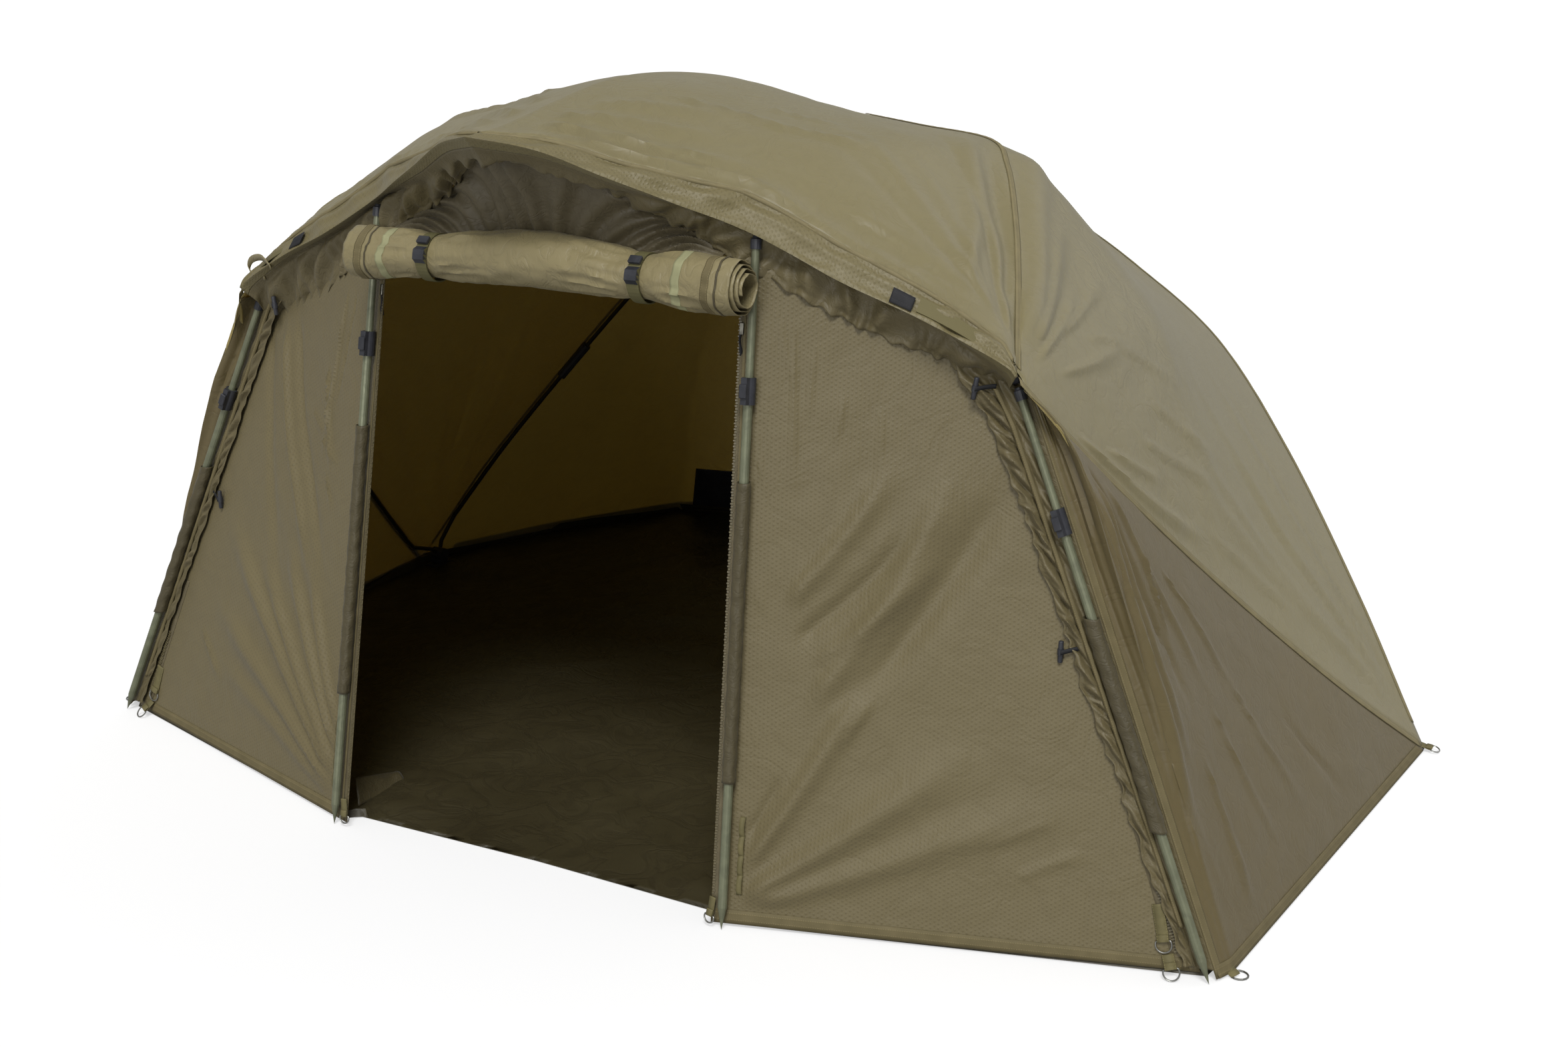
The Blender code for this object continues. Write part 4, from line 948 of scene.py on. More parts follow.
@dataclass(frozen=True)
class Roof(Maker):
    """The roof: one sheet over the ribs, and the taped seams on it."""

    join: float = 0.0004
    seam_width: float = 0.016
    front_folds: tuple[Fold, ...] = (
        Fold((0.98, 0.02), (0.4, 0.06), 0.012, 0.006, 0.5), Fold((0.98, 0.055), (0.52, 0.12), 0.016, 0.0055),
        Fold((0.97, 0.1), (0.66, 0.2), 0.018, 0.0045), Fold((0.95, 0.16), (0.7, 0.3), 0.022, 0.0035),
        Fold((0.88, 0.26), (0.6, 0.36), 0.014, 0.0035), Fold((0.7, 0.3), (0.45, 0.42), 0.016, 0.004),
        Fold((0.74, 0.4), (0.58, 0.47), 0.012, 0.0026), Fold((0.62, 0.035), (0.06, 0.06), 0.012, 0.0026, 0.7),
        Fold((0.56, 0.1), (0.1, 0.2), 0.02, -0.0016, 0.7), Fold((0.4, 0.16), (0.1, 0.36), 0.02, 0.0014),
        Fold((0.34, 0.1), (0.16, 0.26), 0.012, 0.001), Fold((0.46, 0.1), (0.28, 0.24), 0.012, 0.0008),
        Fold((0.25, 0.1), (0.09, 0.24), 0.012, 0.0012), Fold((0.14, 0.3), (0.6, 0.9), 0.03, 0.005),
        Fold((0.1, 0.8), (0.5, 0.93), 0.022, -0.005), Fold((0.06, 0.7), (0.3, 0.86), 0.014, 0.003),
    )
    side_folds: tuple[Fold, ...] = (
        Fold((0.05, 0.86), (0.62, 0.93), 0.022, 0.0075, 0.6), Fold((0.07, 0.72), (0.42, 0.84), 0.014, 0.0045),
        Fold((0.06, 0.6), (0.3, 0.72), 0.01, 0.0035), Fold((0.16, 0.66), (0.38, 0.66), 0.009, 0.0032),
        Fold((0.1, 0.45), (0.34, 0.5), 0.01, 0.003), Fold((0.1, 0.08), (0.46, 0.08), 0.011, 0.005),
        Fold((0.18, 0.15), (0.34, 0.17), 0.008, 0.003), Fold((0.28, 0.26), (0.52, 0.2), 0.011, 0.0036),
        Fold((0.34, 0.36), (0.56, 0.26), 0.01, 0.003), Fold((0.42, 0.1), (0.72, 0.07), 0.01, 0.0034),
        Fold((0.3, 0.5), (0.48, 0.4), 0.009, 0.0028), Fold((0.22, 0.58), (0.34, 0.5), 0.007, 0.0026),
    )

    @staticmethod
    def shares(u: float) -> float:
        """Starts the grid a little way from its pointed corner."""
        return FORM.patch_start + (1.0 - FORM.patch_start) * u

    def front_relief(self, side: Side) -> Relief:
        """Creases from the peak and the corner, and puckers along the brim's seam."""
        extra = tension((0.02, 0.5), (0.7, 0.6), 60.0, 5, 0.02, 0.0026, 11 + side.value)
        drape = Drape((1.15, 1.05), self.front_folds + tuple(extra), fanned=True)

        def height(u: float, v: float, p: Vector) -> float:
            """The front panel's relief at a place."""
            edge = smoothstep(0.0, 0.06, u) * smoothstep(0.0, 0.03, v) * smoothstep(1.0, 0.95, v)
            ridge = smoothstep(1.0, 0.94, u) if v > 0.12 else 1.0
            seam = bell(v * u, 0.0, 0.07) * smoothstep(0.0, 0.012, v)
            puckers = math.sin(u * 120.0 + 5.0 * noise.noise(p * 9.0)) * seam * 0.001 * smoothstep(0.95, 0.6, u)
            sway = noise.noise(p * 3.0) * 0.012
            return puckers + edge * ridge * (drape.height(u, v, sway) * 1.9 + crinkle(p, 0.22, 2.0) * 0.004
                                             + crinkle(p, 0.07, 5.0) * 0.0016)

        return height

    def side_relief(self, side: Side) -> Relief:
        """Long soft folds by the front rib, and short creases beside the lower seam."""
        extra = tension((1.0, 0.02), (0.45, 0.55), 50.0, 6, 0.024, 0.003, 21 + side.value)
        drape = Drape((1.45, 1.55), self.side_folds + tuple(extra), fanned=True)

        def height(u: float, v: float, p: Vector) -> float:
            """The side panel's relief at a place."""
            edge = (smoothstep(0.0, 0.06, u) * smoothstep(1.0, 0.95, u)
                    * smoothstep(0.0, 0.035, v) * smoothstep(1.0, 0.96, v))
            sway = noise.noise(p * 3.0 + Vector((5, 0, 0))) * 0.016
            small = crinkle(p, 0.055, 3.0) * 0.0026 * bell(u, 0.33, 0.24)
            return edge * (drape.height(u, v, sway) * 1.8 + crinkle(p, 0.25, 7.0) * 0.004 + small)

        return height

    def build(self) -> list[Piece]:
        """Builds the roof and its seams."""
        patches = []
        for side in Side:
            patches.append(Patch(lambda u, v, s=side: s.of(FORM.roof_front(self.shares(u), v)), 104, 64,
                                 self.front_relief(side), FORM.inside, runs=False))
            patches.append(Patch(lambda u, v, s=side: s.of(FORM.roof_side(self.shares(u), v)), 100, 76,
                                 self.side_relief(side), FORM.inside, runs=False))
        roof = self.shop.sheet("roof", patches, ["roof", "lining"], merge=self.join)
        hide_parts("roof_canopy")
        self.shop.hang(roof, Hang.ROOF)
        made = [roof]
        for side in Side:
            made.append(self.seam(f"front_rib_seam_{side.label}", side, FORM.front_seam, "roof_front"))
            made.append(self.seam(f"rear_rib_seam_{side.label}", side, FORM.rear_seam, "rear"))
            made.append(self.seam(f"side_seam_tape_{side.label}", side, FORM.side_seam, "side"))
            made.append(self.piping(side))
        self.shop.declare(roof, "stretched", ["front_arm_left", "front_arm_right", "rear_arm_left", "rear_arm_right"],
                          made[1:])
        return made

    def piping(self, side: Side) -> Piece:
        """The rolled fold where the brim is sewn to the roof."""

        def place(u: float, v: float) -> Vector:
            """A point round the rolled fold."""
            share = 0.004 + 0.978 * u
            top = FORM.brim_top(share)
            ahead = FORM.brim_top(min(share + 0.01, 1.0)) - FORM.brim_top(max(share - 0.01, 0.0))
            down = FORM.brim_edge.at(share) - top
            out = down.cross(ahead).normalized()
            out = out if out.y < 0 else -out
            down = ahead.cross(out).normalized()
            down = down if down.z < 0 else -down
            angle = math.tau * v
            slack = 1.0 + 0.25 * noise.noise(Vector((share * 40.0, 0.0, angle * 0.3)))
            return side.of(top + out * (0.0014 + 0.003 * slack * math.cos(angle)) + down * (0.0042 * math.sin(angle)))

        return self.shop.trim(f"brim_seam_{side.label}", Patch(place, 130, 8), "seam", "olive_cloth", Hang.ROOF,
                              self.shop.BEAD, self.shop.CLOSED)

    def seam(self, name: str, side: Side, line: Line, kind: str) -> Piece:
        """A folded and twice stitched seam that lies on two panels.

        Args:
            name: Name of the piece.
            side: Its side of the shelter.
            line: The seam's line.
            kind: Which panels lie on both sides of it.

        Returns:
            The new object.
        """
        low, high = {"rear": (0.02, 0.97), "side": (0.004, 0.985)}.get(kind, (0.02, 0.985))

        def beside(share: float, off: float) -> Vector:
            """A point of a panel, off metres from the seam."""
            if kind == "roof_front":
                surface, edge = (FORM.roof_front, 1.0) if off > 0 else (FORM.roof_side, 1.0)
                u, towards = share, -1.0
            elif kind == "side":
                surface, edge, u, towards = FORM.roof_side, 0.0, share, 1.0
            else:
                here = FORM.roof_side(1.0, 1.0 - share)
                inner = FORM.roof_side(0.985, 1.0 - share)
                return here + (inner - here).normalized() * abs(off)
            here = surface(u, edge)
            inner = surface(u, edge + towards * 0.04)
            return here + (inner - here).normalized() * (off if kind == "side" else abs(off))

        def place(u: float, v: float) -> Vector:
            """A point of the seam's tape."""
            share = low + (high - low) * u
            if kind == "roof_front":
                off = (v - 0.5) * self.seam_width
            else:
                off = v * self.seam_width - (0.005 if kind == "side" else 0.001)
            uneven = 1.0 + 0.3 * noise.noise(Vector((share * 60, 0, 0)))
            lift = 0.0018 + 0.0016 * (1.0 - (2.0 * v - 1.0) ** 2) * uneven
            out = (line.at(share) - FORM.inside).normalized()
            return side.of(beside(share, off) + out * lift)

        return self.shop.trim(name, Patch(place, 150, 6, inside=FORM.inside), "seam", "olive_cloth", Hang.ROOF)


@dataclass(frozen=True)
class Walls(Maker):
    """The rear wall, the lower side panels and the front panels with their zips and hems."""

    zip_tape: float = 0.0007
    left_folds: tuple[Fold, ...] = (
        Fold((0.02, 0.04), (0.86, 0.52), 0.03, 0.012, 0.25), Fold((0.02, 0.05), (0.62, 0.46), 0.024, 0.01, 0.25),
        Fold((0.02, 0.07), (0.48, 0.5), 0.024, 0.01, 0.25), Fold((0.02, 0.03), (0.84, 0.34), 0.032, 0.01, 0.25),
        Fold((0.02, 0.09), (0.32, 0.46), 0.02, 0.0085, 0.3), Fold((0.02, 0.02), (0.72, 0.2), 0.026, 0.006, 0.25),
        Fold((0.84, 0.94), (0.24, 0.34), 0.017, 0.009, 0.8), Fold((0.76, 0.94), (0.17, 0.36), 0.018, -0.007, 0.8),
        Fold((0.94, 0.93), (0.4, 0.3), 0.02, -0.005, 0.8), Fold((0.82, 0.24), (0.64, 0.13), 0.01, 0.0045),
        Fold((0.33, 0.95), (0.34, 0.6), 0.009, 0.005), Fold((0.24, 0.92), (0.3, 0.7), 0.008, -0.004),
        Fold((0.4, 0.8), (0.26, 0.58), 0.009, 0.005), Fold((0.36, 0.66), (0.22, 0.6), 0.006, 0.0035),
        Fold((0.3, 0.6), (0.22, 0.52), 0.006, 0.003), Fold((0.46, 0.72), (0.34, 0.66), 0.006, 0.003),
    )
    right_folds: tuple[Fold, ...] = (
        Fold((0.01, 0.02), (0.66, 0.36), 0.045, 0.012, 0.25), Fold((0.03, 0.02), (0.88, 0.29), 0.04, 0.008, 0.3),
        Fold((0.03, 0.06), (0.5, 0.54), 0.034, 0.01, 0.3), Fold((0.28, 0.34), (0.95, 0.86), 0.04, -0.011, 0.6),
        Fold((0.2, 0.34), (0.8, 0.86), 0.034, 0.008, 0.6), Fold((0.15, 0.5), (0.56, 0.8), 0.026, 0.0075, 0.6),
        Fold((0.18, 0.45), (0.6, 0.7), 0.022, -0.007, 0.6), Fold((0.22, 0.42), (0.66, 0.66), 0.022, 0.006, 0.6),
        Fold((0.07, 0.14), (0.16, 0.25), 0.006, -0.005, 1.0), Fold((0.3, 0.3), (0.4, 0.4), 0.01, 0.0034),
        Fold((0.66, 0.12), (0.84, 0.19), 0.011, 0.0036), Fold((0.6, 0.17), (0.8, 0.24), 0.01, 0.003),
        Fold((0.48, 0.16), (0.6, 0.24), 0.008, 0.0028), Fold((0.22, 0.94), (0.2, 0.66), 0.016, 0.0022),
        Fold((0.14, 0.95), (0.22, 0.84), 0.014, 0.0018), Fold((0.3, 0.92), (0.26, 0.8), 0.014, 0.0018),
        Fold((0.4, 0.86), (0.34, 0.76), 0.014, 0.0018), Fold((0.52, 0.86), (0.48, 0.74), 0.018, 0.0018),
        Fold((0.04, 0.8), (0.12, 0.66), 0.008, 0.003), Fold((0.05, 0.56), (0.12, 0.48), 0.007, 0.0026),
    )
    side_folds: tuple[Fold, ...] = (
        Fold((0.16, 0.3), (0.8, 0.1), 0.018, 0.007, 0.7), Fold((0.14, 0.48), (0.7, 0.16), 0.016, 0.006, 0.7),
        Fold((0.12, 0.62), (0.62, 0.28), 0.016, -0.0055, 0.7), Fold((0.16, 0.72), (0.6, 0.42), 0.014, 0.0045, 0.7),
        Fold((0.25, 0.2), (0.95, 0.05), 0.012, -0.005, 0.7), Fold((0.3, 0.52), (0.42, 0.4), 0.008, 0.004),
        Fold((0.36, 0.44), (0.46, 0.36), 0.007, 0.0036), Fold((0.42, 0.34), (0.52, 0.26), 0.007, 0.0034),
        Fold((0.34, 0.66), (0.62, 0.56), 0.012, 0.0036), Fold((0.6, 0.4), (0.92, 0.36), 0.012, 0.0034),
        Fold((0.58, 0.58), (0.9, 0.52), 0.012, 0.0032), Fold((0.66, 0.24), (0.98, 0.2), 0.014, 0.0034),
        Fold((0.7, 0.7), (0.96, 0.66), 0.014, -0.0032),
    )

    def build(self) -> list[Piece]:
        """Builds the walls."""
        made = self.rear()
        for side in Side:
            made += self.side(side) + self.front(side)
        return made

    def rear(self) -> list[Piece]:
        """The rear wall, from the rear seams down to the ground."""
        folds = tension((0.0, 0.5), (0.9, 0.5), 52.0, 9, 0.03, 0.006, 3)
        for at, seed in ((0.14, 5), (0.86, 6)):
            folds += tension((1.0, at), (0.45, 0.5 + (at - 0.5) * 0.5), 70.0, 6, 0.026, 0.0055, seed)
        drape = Drape((1.6, 2.4), folds)

        def relief(u: float, v: float, p: Vector) -> float:
            """The rear wall's folds, which fade out at its borders."""
            edge = (smoothstep(0.0, 0.06, u) * smoothstep(1.0, 0.96, u)
                    * smoothstep(0.0, 0.04, v) * smoothstep(1.0, 0.96, v))
            sway = noise.noise(p * 2.5) * 0.02
            return edge * (drape.height(u, v, sway) + crinkle(p, 0.25, 9.0) * 0.004 + crinkle(p, 0.07, 1.0) * 0.001)

        # The wall finish is the roof's cloth darkened as painted shade.
        wall = self.shop.sheet("rear_wall", [Patch(lambda u, v: FORM.rear_wall(0.012 + 0.988 * u, v), 90, 140,
                                                   relief, FORM.inside, runs=False)], ["wall", "lining"])
        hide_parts("rear_panel")
        self.shop.hang(wall, Hang.BEHIND)

        def hem(u: float, v: float) -> Vector:
            """A point of the rear hem."""
            low = FORM.rear_wall(1.0, 0.012 + 0.976 * u)
            high = FORM.rear_wall(0.975, 0.012 + 0.976 * u)
            return low.lerp(high, v * 0.8) + Vector((0, 0.002, 0.0006))

        band = self.shop.trim("rear_hem", Patch(hem, 160, 4, inside=FORM.inside), "hem", "olive_cloth", Hang.BEHIND)
        self.shop.declare(wall, "stretched", ["hub_left", "hub_right"], [band])
        return [wall, band]

    def side(self, side: Side) -> list[Piece]:
        """A lower side panel with its hem."""
        drape = Drape((1.25, 1.25), self.side_folds, fanned=True)

        def relief(u: float, row: float, p: Vector) -> float:
            """The side wall's folds, and its small pleats beside the pole."""
            v = row ** 1.5
            edge = (smoothstep(0.0, 0.1, u) * smoothstep(1.0, 0.96, u)
                    * smoothstep(0.04, 0.1, v) * smoothstep(1.0, 0.95, v))
            sway = noise.noise(p * 3.5 + Vector((0, 3, 0))) * 0.014
            small = crinkle(p, 0.06, 8.0) * 0.0018
            wander = v * 190.0 + 3.0 * noise.noise(Vector((u * 5.0, v * 20.0, side.value))) - u * 9.0
            pleats = (math.sin(wander) * smoothstep(0.0, 0.012, v) * smoothstep(0.2, 0.08, v)
                      * smoothstep(0.0, 0.04, u))
            uneven = 1.0 + 0.7 * noise.noise(Vector((u * 9.0, v * 30.0, 4.0)))
            pleats *= 0.003 * (1.0 - 0.85 * smoothstep(0.1, 0.6, u)) * uneven
            return pleats + edge * (drape.height(u, v, sway) * 1.5 + crinkle(p, 0.22, 4.0) * 0.0036 + small)

        # The wall finish is the roof's cloth darkened as painted shade.
        wall = self.shop.sheet(f"side_wall_{side.label}",
                               [Patch(lambda u, v: side.of(FORM.side_wall(u, v ** 1.5)), 120, 96, relief,
                                      FORM.inside, runs=False)], ["wall", "lining"])
        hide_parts(f"side_panel_{side.label}")
        self.shop.hang(wall, Hang.AHEAD)

        def low_hem(u: float, v: float) -> Vector:
            """A point of the hem on the ground."""
            spot = FORM.side_wall(1.0 - 0.022 * v, 0.008 + 0.984 * u)
            return side.of(spot + Vector((0.0017, -0.0012, 0.0006)))

        def front_hem(u: float, v: float) -> Vector:
            """A point of the hem beside the pole."""
            share = 0.03 + 0.965 * u
            return side.of(FORM.side_wall(share, 0.002 + 0.026 * v) + Vector((0.0012, -0.002, 0)))

        trims = [self.shop.trim(f"{name}_{side.label}", Patch(place, 90, 4, inside=FORM.inside), "hem",
                                "olive_cloth", Hang.AHEAD)
                 for name, place in (("side_hem", low_hem), ("side_front_hem", front_hem))]
        self.shop.declare(wall, "stretched", [f"peg_ring_{side.label}"], trims)
        return [wall] + trims

    @staticmethod
    def on_front(u: float, w: float, ahead: float = 0.0) -> Vector:
        """A point of the right front panel: u from the door to the side pole, w from the hem up."""
        low = 0.0065 + 0.0015 * u
        high = FORM.door_top + (FORM.strip_top - FORM.door_top) * u
        z = low + (high - low) * w
        inner = FORM.pole(FORM.centre_tip, FORM.centre_top, z).x - FORM.panel_lap
        outer = FORM.pole(FORM.side_tip, FORM.side_top, z).x - FORM.panel_end
        return FORM.panel(inner + (outer - inner) * u, z, ahead)

    def front(self, side: Side) -> list[Piece]:
        """A front panel, behind the two poles of its side."""
        drape = Drape((0.88, 1.13), self.right_folds if side is Side.RIGHT else self.left_folds)

        def relief(u: float, w: float, p: Vector) -> float:
            """The front wall's folds, lower where the poles and the strip lie on it."""
            sway = noise.noise(p * 4.0 + Vector((0, 0, 2))) * 0.01
            high = drape.height(u, w, sway) * 1.3 + crinkle(p, 0.16, 6.0) * 0.0036 + crinkle(p, 0.05, 2.0) * 0.0013
            edge = smoothstep(0.97, 0.9, u) * smoothstep(0.015, 0.05, w)
            if high > 0.0:
                return high * edge * smoothstep(0.05, 0.12, u) * (1.0 - 0.75 * smoothstep(0.84, 0.95, w))
            return high * edge * smoothstep(0.015, 0.06, u)

        wall = self.shop.sheet(f"front_wall_{side.label}",
                               [Patch(lambda u, w: side.of(self.on_front(u, w)), 110, 124, relief,
                                      FORM.inside, runs=False)], ["front", "lining"])
        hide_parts(f"front_panel_{side.label}")
        self.shop.hang(wall, Hang.AHEAD)
        trims = self.front_trims(side)
        self.shop.declare(wall, "hung", ["brim"], trims)
        return [wall] + trims

    def front_trims(self, side: Side) -> list[Piece]:
        """The hem, the zips and their tapes on a front panel."""
        at = self.on_front
        bands = (
            ("front_hem", lambda u, v: at(0.01 + 0.97 * u, 0.0015 + 0.021 * v, 0.0017), "hem", 100),
            ("door_zip_tape", lambda u, v: at(0.0015 + 0.015 * v, 0.004 + 0.985 * u, 0.0014), "zip_tape", 140),
            ("door_zip_flap", lambda u, v: at(0.019 + 0.01 * v, 0.004 + 0.95 * u, 0.0018), "hem", 140),
            ("outer_zip_tape", lambda u, v: at(0.952 + 0.018 * v, 0.03 + 0.3 * u, 0.0016), "zip_tape", 60),
        )
        made = [self.shop.trim(f"{name}_{side.label}",
                               Patch(lambda u, v, f=place: side.of(f(u, v)), steps, 3, inside=FORM.inside),
                               finish, "olive_cloth", Hang.AHEAD, self.zip_tape)
                for name, place, finish, steps in bands]
        made.append(self.teeth(f"door_zip_teeth_{side.label}", side, lambda s: at(0.0045, 0.01 + 0.97 * s, 0.0022),
                               230, Vector((0.005, 0.0016, 0.003))))
        made.append(self.teeth(f"outer_zip_teeth_{side.label}", side, lambda s: at(0.968, 0.032 + 0.17 * s, 0.003),
                               34, Vector((0.01, 0.003, 0.0036))))
        return made

    def teeth(self, name: str, side: Side, place: Callable[[float], Vector], count: int, size: Vector) -> Piece:
        """A row of zip teeth.

        Args:
            name: Name of the piece.
            side: Its side of the shelter.
            place: Gives a point for a share of the row.
            count: Number of teeth.
            size: Size of one tooth.

        Returns:
            The new object.
        """
        bm = bmesh.new()
        along = side.of(place(1.0) - place(0.0)).normalized()
        across = side.of(Vector((1, 0.25, 0)))
        across = (across - along * across.dot(along)).normalized()
        out = along.cross(across)
        turn = Matrix((across, out, along)).transposed().to_4x4()
        for k in range(count):
            spot = side.of(place((k + 0.5) / count)) + across * (size.x * (0.12 if k % 2 else -0.12))
            bmesh.ops.create_cube(bm, size=1.0, matrix=Matrix.Translation(spot) @ turn @ Matrix.Diagonal((*size, 1.0)))
        chain = self.shop.link(name, bm, ["teeth"])
        return self.shop.hang(chain, Hang.AHEAD)


@dataclass(frozen=True)
class Brim(Maker):
    """The stiffened brim with its gathered valance, and the gathered strips down the side poles."""

    strip_seam: float = 0.5
    ridge_height: float = 0.0085

    def build(self) -> list[Piece]:
        """Builds the brim and the valances."""
        made = [self.band()] + self.valance()
        for side in Side:
            made += self.strip(side)
        return made

    def band(self) -> Piece:
        """The brim's visible band, from the roof's seam down to the edge and back under it."""

        def place(u: float, v: float) -> Vector:
            """A point of the band."""
            share = (u * 2.0 - 1.0) * FORM.brim_end
            side = Side.at(share)
            top = FORM.brim_top(abs(share))
            edge = FORM.brim_edge.at(abs(share))
            inner = FORM.valance_inner(abs(share))
            if v < 0.7:
                spot = top.lerp(edge, v / 0.7)
            else:
                spot = edge.lerp(inner, (v - 0.7) / 0.3 * 0.45)
            return side.of(spot)

        def relief(u: float, v: float, p: Vector) -> float:
            """Its wrinkles, and the lip along its lower edge."""
            body = smoothstep(0.0, 0.14, v) * smoothstep(0.72, 0.58, v)
            near = abs(u - 0.5) * 2
            wave = math.sin(near * 46.0 + v * 5.0 + 3.5 * noise.noise(p * 6.0))
            lengthwise = bell(v, 0.28, 0.1) * smoothstep(0.05, 0.4, near)
            lip = bell(v, 0.66, 0.06) * 0.0016
            return body * (wave * 0.003 + lengthwise * 0.005 + crinkle(p, 0.07, 3.0) * 0.005) + lip + 0.0003

        band = self.shop.sheet("brim_band", [Patch(place, 320, 26, relief, FORM.under_roof)], ["brim"])
        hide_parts("brim")
        self.shop.hang(band, Hang.ROOF)
        self.shop.declare(band, "stretched", ["brim_rib_left", "brim_rib_right"])
        return band

    @staticmethod
    def valance_row(share: float, v: float) -> Vector:
        """A point of the valance's right half: v runs from the brim's edge to the elastic edge."""
        inner = FORM.valance_inner(share)
        if v < 0.2:
            return FORM.brim_edge.at(share).lerp(inner, 0.45 + 0.55 * v / 0.2)
        return inner.lerp(FORM.valance_edge(share), (v - 0.2) / 0.8)

    def valance(self) -> list[Piece]:
        """The gathered valance from behind the brim to its elastic edge."""

        def gathers(u: float, v: float, p: Vector) -> float:
            """Fine and broad gathers, which run down the valance."""
            fine = math.sin(u * 330.0 + 8.0 * noise.noise(p * 10.0) + v * 6.0)
            broad = math.sin(u * 120.0 + 7.0 * noise.noise(p * 5.0) + v * 4.0)
            return fine * 0.005 * v + (broad * 0.01 + 0.005) * math.sin(min(v * 1.1, 1.0) * math.pi)

        def place(u: float, v: float) -> Vector:
            """A point of the valance, whose left end hangs lower."""
            share = (u * 2.0 - 1.0) * FORM.brim_end
            side = Side.at(share)
            spot = self.valance_row(abs(share), v)
            if side is Side.LEFT:
                low = smoothstep(0.52, 0.78, -share) * smoothstep(0.15, 1.0, v)
                spot += Vector((0.0, 0.004, -0.04)) * low
            ruffle = math.sin(u * 260.0 + 4.0 * noise.noise(spot * 8.0)) * 0.004 + noise.noise(spot * 14.0) * 0.005
            return side.of(spot) + Vector((0, 0, ruffle * smoothstep(0.7, 1.0, v)))

        def relief(u: float, v: float, p: Vector) -> float:
            """Its gathers, drawn in at the seam over the elastic edge."""
            seam = bell(v, 0.86, 0.025) * 0.0022
            ends = smoothstep(0.985, 0.93, abs(u * 2.0 - 1.0))
            return smoothstep(0.1, 0.35, v) * gathers(u, v, p) * (0.25 + 0.75 * ends) - seam

        valance = self.shop.sheet("valance", [Patch(place, 640, 24, relief, FORM.under_roof)], ["ruched"], 0.0011)
        self.shop.hang(valance, Hang.ROOF)
        self.shop.declare(valance, "gathered", ["brim_band"])
        return [valance]

    @staticmethod
    def strip_place(u: float, v: float, stretch: float = 1.0) -> Vector:
        """A point of the right strip: u runs down the pole, v from the side panel to the elastic edge."""
        top = FORM.strip_top + 0.05 * v
        z = top + (0.02 - top) * u
        pole = FORM.pole(FORM.side_tip, FORM.side_top, z)
        low = min(max((0.975 - z) / 0.955, 0.0), 1.0)
        reach = (0.066 - 0.026 * low + 0.018 * smoothstep(0.955, 1.05, z)) * stretch
        inner = FORM.panel(pole.x - reach, z, 0.006 + 0.009 * smoothstep(0.95, 1.02, z))
        behind = pole + Vector((-0.004, FORM.clamp + 0.0014, 0))
        if v < 0.15:
            return FORM.beside_pole(z).lerp(behind, v / 0.15)
        return behind.lerp(inner, (v - 0.15) / 0.85)

    def strip(self, side: Side) -> list[Piece]:
        """The gathered strip that closes the gap between a front panel and the side panel."""
        stretch, calm = (1.16, 1.0) if side is Side.RIGHT else (0.92, 0.45)
        seam = self.strip_seam

        def place(u: float, v: float) -> Vector:
            """A point of the strip, with a ruffled free edge."""
            spot = self.strip_place(u, v, stretch)
            ruffle = math.sin(u * 150.0 + 6.0 * noise.noise(spot * 9.0)) * 0.0034 + noise.noise(spot * 13.0) * 0.008
            spot.x += ruffle * calm * smoothstep(0.7, 1.0, v) * smoothstep(0.0, 0.05, u)
            return side.of(spot)

        def relief(u: float, v: float, p: Vector) -> float:
            """Its gathers on both sides of the raised seam."""
            wide = (1.0 - 0.45 * smoothstep(0.3, 0.9, u)) * (0.35 + 0.65 * calm)
            fine = math.sin(u * 210.0 + v * 14.0 + 7.0 * noise.noise(p * 11.0)) * 0.0044
            puff = math.sin(u * 74.0 + v * 9.0 + 6.0 * noise.noise(p * 6.0)) * 0.0085 + 0.0085
            band = math.sin(min(max((v - seam) / (1.0 - seam), 0.0), 1.0) * math.pi)
            ridge = bell(v, seam, 0.03) * self.ridge_height
            tuck = bell(v - seam, 0.08, 0.03) * 0.0025
            beside = math.sin(min(max((v - 0.16) / (seam - 0.16), 0.0), 1.0) * math.pi)
            right = (math.sin(u * 100.0 + v * 16.0 + 6.0 * noise.noise(p * 9.0)) * 0.0034 + 0.005) * beside
            return (wide * (band * (fine + puff) + ridge - tuck + right) * smoothstep(0.0, 0.03, u)
                    + 0.0035 * smoothstep(0.9, 1.0, v))

        strip = self.shop.sheet(f"edge_strip_{side.label}",
                                [Patch(place, 360, 44, relief, Vector((0, 0.3, 0.5)))], ["ruched"], 0.0012)
        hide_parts(f"edge_valance_{side.label}")
        self.shop.hang(strip, Hang.AHEAD)

        def ridge(u: float, v: float) -> Vector:
            """A point of the bead on the raised seam."""
            spot = self.strip_place(0.03 + 0.9 * u, seam, stretch)
            angle = math.tau * v
            wide = 1.0 - 0.45 * smoothstep(0.3, 0.9, u)
            slack = 1.0 + 0.2 * noise.noise(Vector((u * 50.0, 0.0, 0.0)))
            lift = self.ridge_height * wide * (0.35 + 0.65 * calm) + 0.001
            out = Vector((0.0045 * math.cos(angle) * slack, -lift + 0.003 * math.sin(angle) * slack, 0))
            return side.of(spot + out)

        bead = self.shop.trim(f"strip_seam_{side.label}", Patch(ridge, 170, 8), "hem", "olive_cloth", Hang.AHEAD,
                              self.shop.BEAD, self.shop.CLOSED)
        self.shop.declare(strip, "gathered", [f"peg_ring_{side.label}"], [bead])
        return [strip, bead]


